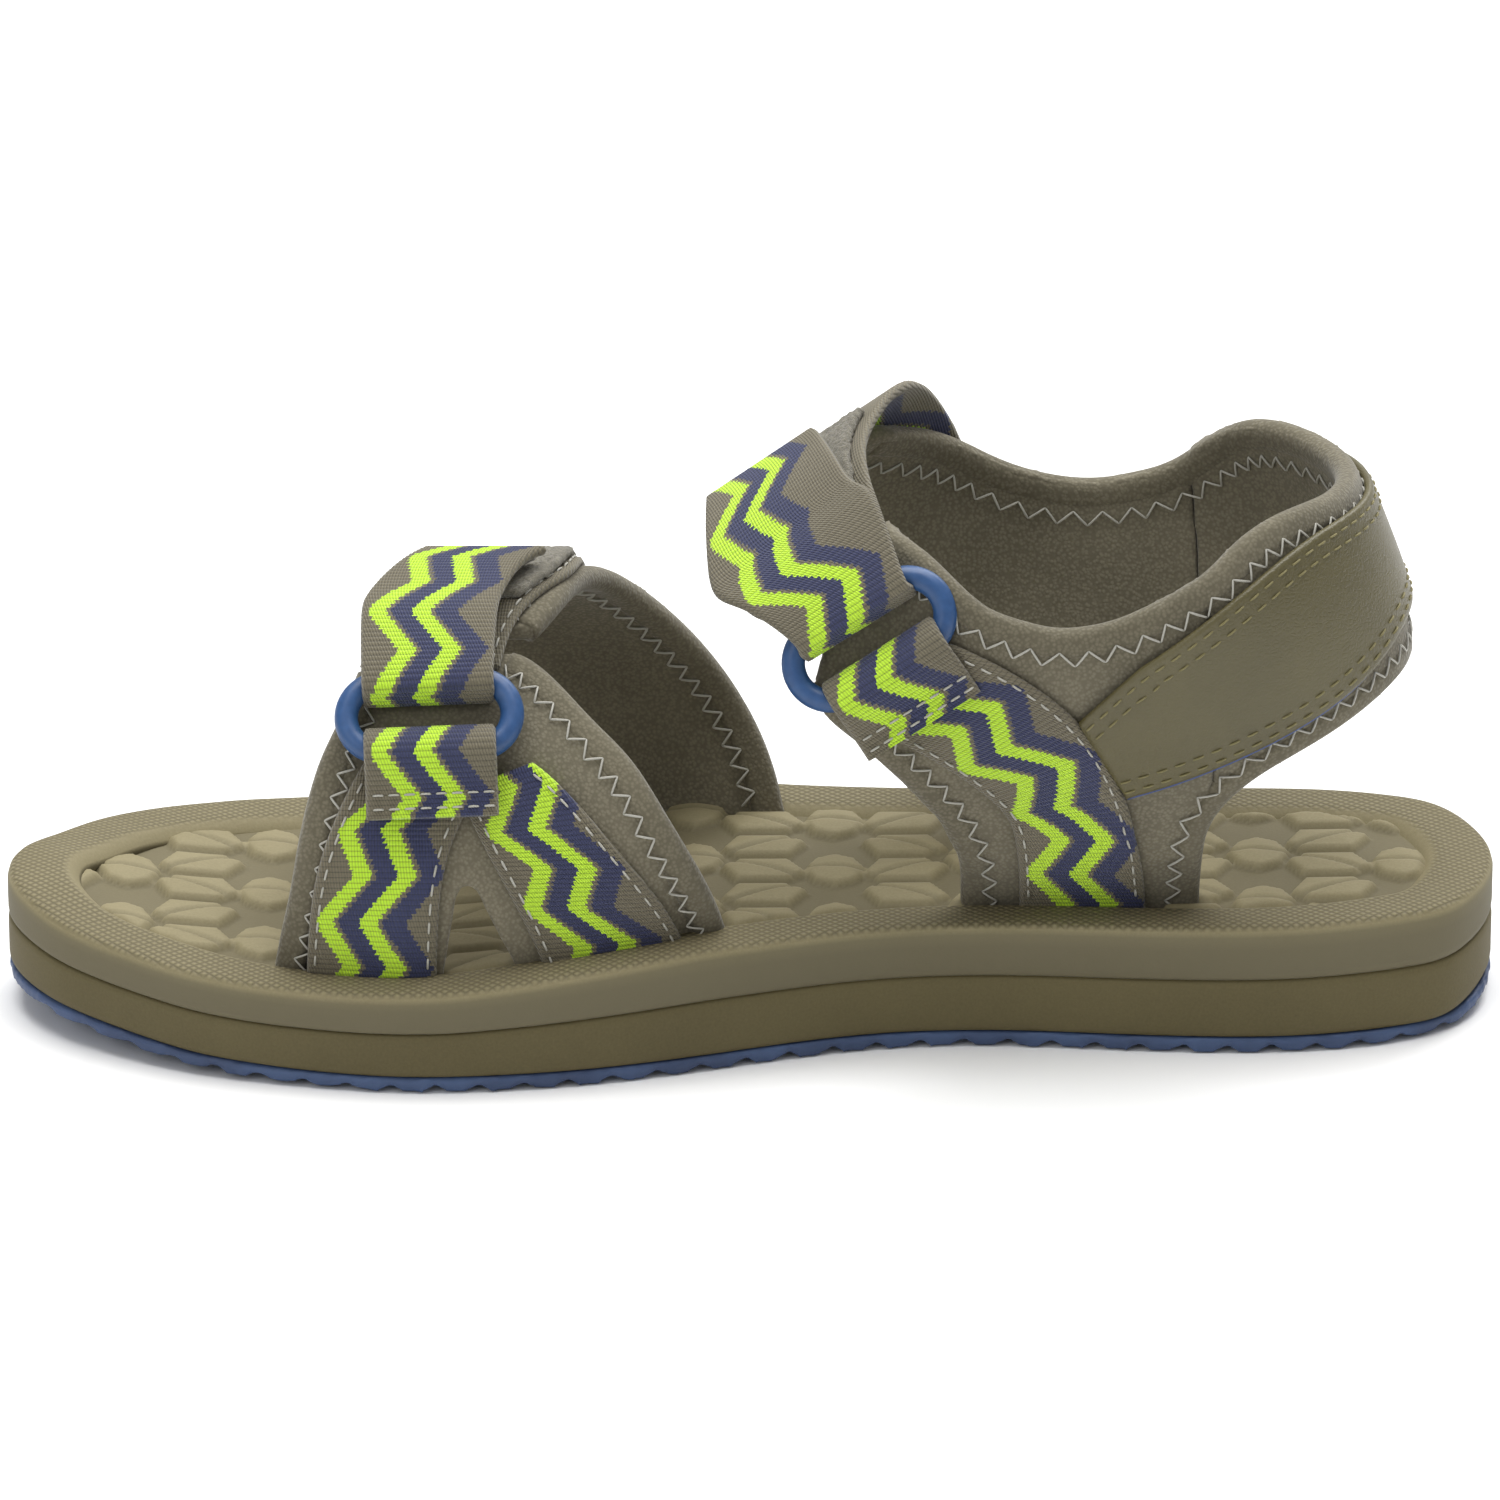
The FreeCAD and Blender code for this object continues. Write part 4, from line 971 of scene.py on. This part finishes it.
def tape_material(name, low, high, height, roughness):
    """Closure tape: a dense nap of fine loops or stubble."""
    material, tree, shader = node_material(name)
    place = piece_place(tree)
    nap = noise(tree, place, 1600.0, 5.0, 0.75)
    tree.links.new(blend_colour(tree, ramp(tree, nap, 0.3, 0.7), low, high),
                   shader.inputs["Base Color"])
    shader.inputs["Roughness"].default_value = roughness
    shader.inputs["Sheen Weight"].default_value = 0.4
    bump(tree, shader, nap, height, 1.0)
    return material


loop_pile = tape_material("loop_pile", linear(84, 78, 62), linear(138, 132, 112), 0.0008, 0.95)
hook_stubble = tape_material("hook_stubble", linear(70, 66, 54), linear(104, 99, 84), 0.0003, 0.6)


def inset(points, amount):
    return [(u + amount, v) for u, v in points]


def tape(name, skin, front, rear, low, high, material, slot, body, node, pile=0.0):
    """A patch of closure tape; a pile stands up unevenly by up to its height in mm."""
    a, b = rows_between(skin, inset(front, 1.6), inset(rear, -1.6), 0.5)
    piece = band(name, skin, a, b, low, high, 0.6, 30)
    if pile:
        rough = random.Random(7)
        for vertex in piece.data.vertices:
            vertex.co += vertex.normal * (rough.random() ** 2 * pile * 0.001)
    dress(piece, material, body, slot, node)
    return piece


def loop_tape(part, skin, front, rear):
    """Soft tape on the closing strap, over the stretch that the tab lies on."""
    tape(part + "_loop_tape", skin, front[1:5], rear[1:5], 1.6, 2.9, loop_pile, "loop_tape", "shoe",
         part + "_loop_patch", 0.35)


strap("forefoot_run", forefoot_skin, RUN_FRONT, RUN_REAR, zigzag_webbing, "forefoot_strap_run")
loop_tape("forefoot", forefoot_skin, RUN_FRONT, RUN_REAR)
edge_seams("forefoot_run_seams", forefoot_skin, (RUN_FRONT, RUN_REAR), 1.2, 17.0)


def fold_side(part, x):
    """Centre line of the webbing turned back over the upper bar, at one edge of the strap."""
    return [ring_point(part, x, y, z) for y, z in
            ((6.0, -2.75), (4.5, -2.6), (3.2, -1.9), (2.5, 0.0), (3.3, 2.1), (5.6, 3.0))]


def skin_places(skin, points):
    """Points in space for (u, v, height) on a skin."""
    table = np.array(points, float)
    return list(on_skin(skin, table[:, 0], table[:, 1], table[:, 2])[0])


def peel_with(piece):
    """Bake the piece's placement into its mesh."""
    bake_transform(piece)


def closing_tab(part, skin, front, rear):
    """The strap's free end, folded over the upper bar, with the hook tape under it."""
    tab = flat_strap(part + "_tab", fold_side(part, -HALF_WEB) + skin_places(skin, front),
                     fold_side(part, HALF_WEB) + skin_places(skin, rear))
    tab.data.materials.append(front_webbing)
    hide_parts(part + "_strap_tab")
    peel_with(tab)
    tape(part + "_hook_tape", skin, [(u, v) for u, v, _ in front[1:]],
         [(u, v) for u, v, _ in rear[1:]], 3.5, 4.5, hook_stubble, "hook_tape",
         part + "_tab_body", part + "_hook_patch")


TAB_FRONT = [(-55.6, 6.0, 5.9), (-54.6, 6.5, 5.3), (-51.0, 7.1, 5.25), (-47.0, 7.6, 5.25)]
TAB_REAR = [(-36.3, 6.0, 5.9), (-35.4, 6.5, 5.3), (-33.0, 7.1, 5.25), (-29.4, 7.6, 5.25)]
closing_tab("forefoot", forefoot_skin, TAB_FRONT, TAB_REAR)


# ---- Ankle panels and heel band ---------------------------------------------------------------
# The collar is the same brushed knit over foam in three panels: two sides that come up out of
# the foam and a band round the heel, sewn together and bound along every edge.
INSTEP_SECTION = [(-13.8, 3), (-14, 18.5), (-17.5, 26), (-20.8, 34), (-23.6, 42), (-25.3, 50),
                  (-25, 58), (-21.5, 67), (-15, 75), (-7, 80.5), (1.5, 82.5), (12, 82), (20, 79),
                  (26.5, 72.5), (30.5, 64), (32.5, 55), (30.6, 44), (27.4, 34), (24, 26),
                  (20.8, 18.5), (20.6, 3)]
ANKLE_GIRTH = [(3, 17.2), (18.5, 17.4), (26, 20.9), (34, 24.2), (42, 27), (50, 29.2), (58, 30.4),
               (66, 31), (74, 30), (84, 27)]
HEEL_BACK = [(30, 93), (45, 95.2), (55, 94.9), (66, 91.6), (79, 86.5), (84, 85)]
HEEL_MIDDLE = 100.0
HEEL_CENTRE_Y = 3.4
HEEL_TURN_START = 55.0
instep_curve = smooth_line(INSTEP_SECTION)
girth_table = smooth_line(ANKLE_GIRTH)(np.linspace(0, len(ANKLE_GIRTH) - 1, 300))
heel_table = smooth_line(HEEL_BACK)(np.linspace(0, len(HEEL_BACK) - 1, 300))
inner_table = instep_curve(np.linspace(0, 8.3, 200))
outer_table = instep_curve(np.linspace(12.3, 20, 200))[::-1]


def instep_rise(x, z):
    return 0.7 * (np.minimum(x, 30.0) - 15.0) * ease((z - 48.0) / 32.0)


def instep_skin(u, v):
    """Outer face of the padding over the instep: u along the foot, v over it."""
    place = instep_curve(v)
    u = np.broadcast_to(u, place[..., 0].shape)
    return np.stack([u, place[..., 0], place[..., 1] + instep_rise(u, place[..., 1])], -1)


def instep_side(x, z, side):
    """y of the instep skin at each x and z, on the inner side (-1) or the outer side (1)."""
    flat_x, flat_z, flat_side = x.ravel(), z.ravel(), side.ravel()
    found = np.empty(len(flat_x))
    for i in range(len(flat_x)):
        table = inner_table if flat_side[i] < 0 else outer_table
        heights = table[:, 1] + instep_rise(flat_x[i], table[:, 1])
        found[i] = np.interp(flat_z[i], heights, table[:, 0])
    return found.reshape(x.shape)


def collar_skin(u, v):
    """Outer face of the collar: u runs back along the inner side, round the heel at 100 and
    forwards along the outer side, and v is the height."""
    u, v = np.broadcast_arrays(np.asarray(u, float), np.asarray(v, float))
    side = np.where(u <= HEEL_MIDDLE, -1.0, 1.0)
    near = np.where(side < 0, u, 2 * HEEL_MIDDLE - u)
    half = np.interp(v, girth_table[:, 0], girth_table[:, 1])
    back = np.interp(v, heel_table[:, 0], heel_table[:, 1])
    turn = np.radians(2.0 * np.clip(near - HEEL_TURN_START, 0.0, None))
    x = np.where(near > HEEL_TURN_START,
                 HEEL_TURN_START + (back - HEEL_TURN_START) * np.sin(turn), near)
    y = HEEL_CENTRE_Y + side * half * np.cos(turn)
    share = ease((near - 18.0) / 16.0)
    fore = share < 1
    if fore.any():
        y = y.copy()
        y[fore] = (share[fore] * y[fore]
                   + (1 - share[fore]) * instep_side(near[fore], v[fore], side[fore]))
    return np.stack([x, y, v], -1)


def both_sides(points):
    """Points of the inner side carried round the heel to the outer side."""
    return points + [(2 * HEEL_MIDDLE - u, v) for u, v in reversed(points[:-1])]


for node in ("ankle_medial_panel", "ankle_lateral_panel", "heel_band"):
    padded_panel(node, node + "_pad")
COLLAR_FRONT = [(30.6, 3), (30.5, 19), (29.9, 26.2), (26.8, 33.5), (21.1, 40.6), (15.4, 46.6),
                (11, 50.8), (9, 56)]
COLLAR_TOP = ([(15.5, 75.2), (19.6, 76.2), (25.2, 73.5), (32.2, 68.3), (39.2, 65.3), (44.8, 64.4),
               (51.9, 65.9), (58, 69.2), (63, 72.4), (67.4, 75.9), (72.3, 78.3), (78.5, 79.3),
               (88, 79.2), (100, 79), (112, 79.2), (121.5, 79.3), (127.7, 78.3), (132.6, 75.6),
               (137, 71.8), (141.5, 68.6), (148.6, 66.8), (156, 67.3), (163.4, 69.7),
               (170.7, 73.7), (176, 76.4), (182, 78.8)])
COLLAR_LOW = both_sides([(62.2, 3), (62.2, 18.5), (62.4, 26), (63.3, 32.5), (66.5, 38.2),
                         (71.3, 42.2), (78.5, 46), (88, 49.6), (100, 51)])
bound_edge("collar_front_binding", collar_skin, COLLAR_FRONT, -1)
bound_edge("collar_outer_front_binding", collar_skin,
           [(2 * HEEL_MIDDLE - u, v) for u, v in COLLAR_FRONT], 1)
bound_edge("collar_top_binding", collar_skin, COLLAR_TOP, -1)
bound_edge("collar_low_binding", collar_skin, COLLAR_LOW, 1)
lining = beside(collar_skin, even_line(collar_skin, COLLAR_TOP, 1.8), -4.6)
lining_low = beside(collar_skin, lining, -2.2)
zig = np.where((np.arange(len(lining)) % 2 == 0)[:, None], lining, lining_low)
zig_places, zig_normals = on_skin(collar_skin, zig[:, 0], zig[:, 1], np.full(len(zig), -PANEL - 0.3))
sewn("collar_lining_seam", [(zig_places[i], zig_places[i + 1], -zig_normals[i])
                            for i in range(len(zig) - 1)], slot="padded_cloth")


# ---- Ankle webbing, closing strap and tab -----------------------------------------------------
# One strap of the zigzag webbing climbs the inner side to the ring. The closing strap crosses
# the instep from the outer side, and its end turns back over the ring onto its own loop tape.
WEB_FRONT = [(38.6, 3), (38.6, 19), (37.7, 31.2), (35, 37), (29, 42.5), (21, 47.8), (13.0, 52.8)]
WEB_REAR = [(56.3, 3), (56.3, 19), (55, 31.2), (51.7, 42.5), (45, 52.5), (35, 60), (27.5, 63.2)]
strap("ankle_leg", collar_skin, WEB_FRONT, WEB_REAR, zigzag_webbing, "ankle_webbing")
edge_seams("ankle_leg_seams", collar_skin, (WEB_FRONT, WEB_REAR), 1.3, 19.5)

ANKLE_RUN_FRONT = [(4.7, 7.1), (-1, 7.9), (-2.5, 8.8), (-1.5, 9.6), (1.5, 10.6), (6, 11.6),
                   (12, 13), (19, 14.5), (27, 16), (35, 17.5), (38.6, 19), (38.6, 20)]
ANKLE_RUN_REAR = [(20.0, 7.6), (18, 8.4), (17, 9), (17, 9.8), (19, 10.6), (22.5, 11.6),
                  (27.5, 13), (35, 14.5), (45, 16), (53, 17.5), (56.3, 19), (56.3, 20)]


def outer_side_skin(u, v):
    """The instep skin, easing onto the collar on the outer side."""
    point = instep_skin(u, v)
    settle = ease((np.asarray(v, float) - 11.5) / 2.0) * ease((point[..., 0] - 18.0) / 16.0)
    collar_y = HEEL_CENTRE_Y + np.interp(point[..., 2], girth_table[:, 0], girth_table[:, 1])
    point[..., 1] += settle * (collar_y - point[..., 1])
    return point


strap("ankle_run", outer_side_skin, ANKLE_RUN_FRONT, ANKLE_RUN_REAR, zigzag_webbing,
      "ankle_strap_run")
loop_tape("ankle", instep_skin, ANKLE_RUN_FRONT, ANKLE_RUN_REAR)
ANKLE_TAB_FRONT = [(1.6, 7.25, 5.9), (-2.6, 7.9, 5.3), (-3.6, 8.7, 5.25), (-3.6, 9.4, 5.25),
                   (-3.4, 10.1, 5.25)]
ANKLE_TAB_REAR = [(20.0, 7.95, 5.9), (17.2, 8.4, 5.3), (15.2, 8.9, 5.25), (13.6, 9.5, 5.25),
                  (12.2, 10.1, 5.25)]
closing_tab("ankle", instep_skin, ANKLE_TAB_FRONT, ANKLE_TAB_REAR)


# ---- Heel overlay -----------------------------------------------------------------------------
# A band of smooth olive synthetic leather goes round the heel, sewn down with two rows of dark
# thread along each edge. A narrow blue edge shows below it at the back.
OVERLAY_LOW = both_sides([(53.7, 38.5), (60.7, 41.9), (70.2, 47.3), (80.4, 53), (90, 57.6), (100, 59)])
OVERLAY_HIGH = both_sides([(46.4, 51.2), (58.7, 63.3), (69, 71.5), (78.9, 75.6), (90, 76.4),
                           (100, 76.4)])
leather, leather_tree, leather_shader = node_material("olive_leather")
leather_place = piece_place(leather_tree)
grain = chain(leather_tree, "ShaderNodeTexVoronoi", feature="DISTANCE_TO_EDGE")
leather_tree.links.new(leather_place, grain.inputs["Vector"])
grain.inputs["Scale"].default_value = 1400.0
grain_line = ramp(leather_tree, grain.outputs["Distance"], 0.0, 0.25)
leather_cloud = noise(leather_tree, leather_place, 60.0, 4.0)
leather_tree.links.new(blend_colour(leather_tree, leather_cloud, linear(72, 66, 38), linear(92, 85, 52)),
                       leather_shader.inputs["Base Color"])
leather_shader.inputs["Roughness"].default_value = 0.42
bump(leather_tree, leather_shader, grain_line, 0.00006, 0.5)
blue_edge, edge_tree, edge_shader = node_material("blue_edge")
edge_shader.inputs["Base Color"].default_value = linear(62, 84, 140)
edge_shader.inputs["Roughness"].default_value = 0.55
bump(edge_tree, edge_shader, noise(edge_tree, piece_place(edge_tree), 2500.0), 0.00006, 0.6)
a, b = rows_between(collar_skin, OVERLAY_LOW, OVERLAY_HIGH, 1.0)
overlay = band("heel_overlay_band", collar_skin, a, b, 0.4, 1.7, 0.6, 26)
dress(overlay, leather, "shoe", "overlay_leather", "heel_overlay")
a, b = rows_between(collar_skin, [(u, v - 0.9) for u, v in OVERLAY_LOW],
                    [(u, v + 3.0) for u, v in OVERLAY_LOW], 1.0)
overlay_edge = band("heel_edge", collar_skin, a, b, 0.1, 0.7, 0.3, 8)
dress(overlay_edge, blue_edge, "shoe", "overlay_edge", "heel_overlay_edge")
olive_thread = thread_material("olive_thread", linear(124, 116, 74))
overlay_seams = []
for edge, side in ((OVERLAY_LOW, 1), (OVERLAY_HIGH, -1)):
    for offset in (1.5, 3.4):
        overlay_seams += running(collar_skin, edge, offset * side, 2.7, 1.78)
sewn("heel_overlay_seams", overlay_seams, slot="overlay_leather", material=olive_thread)
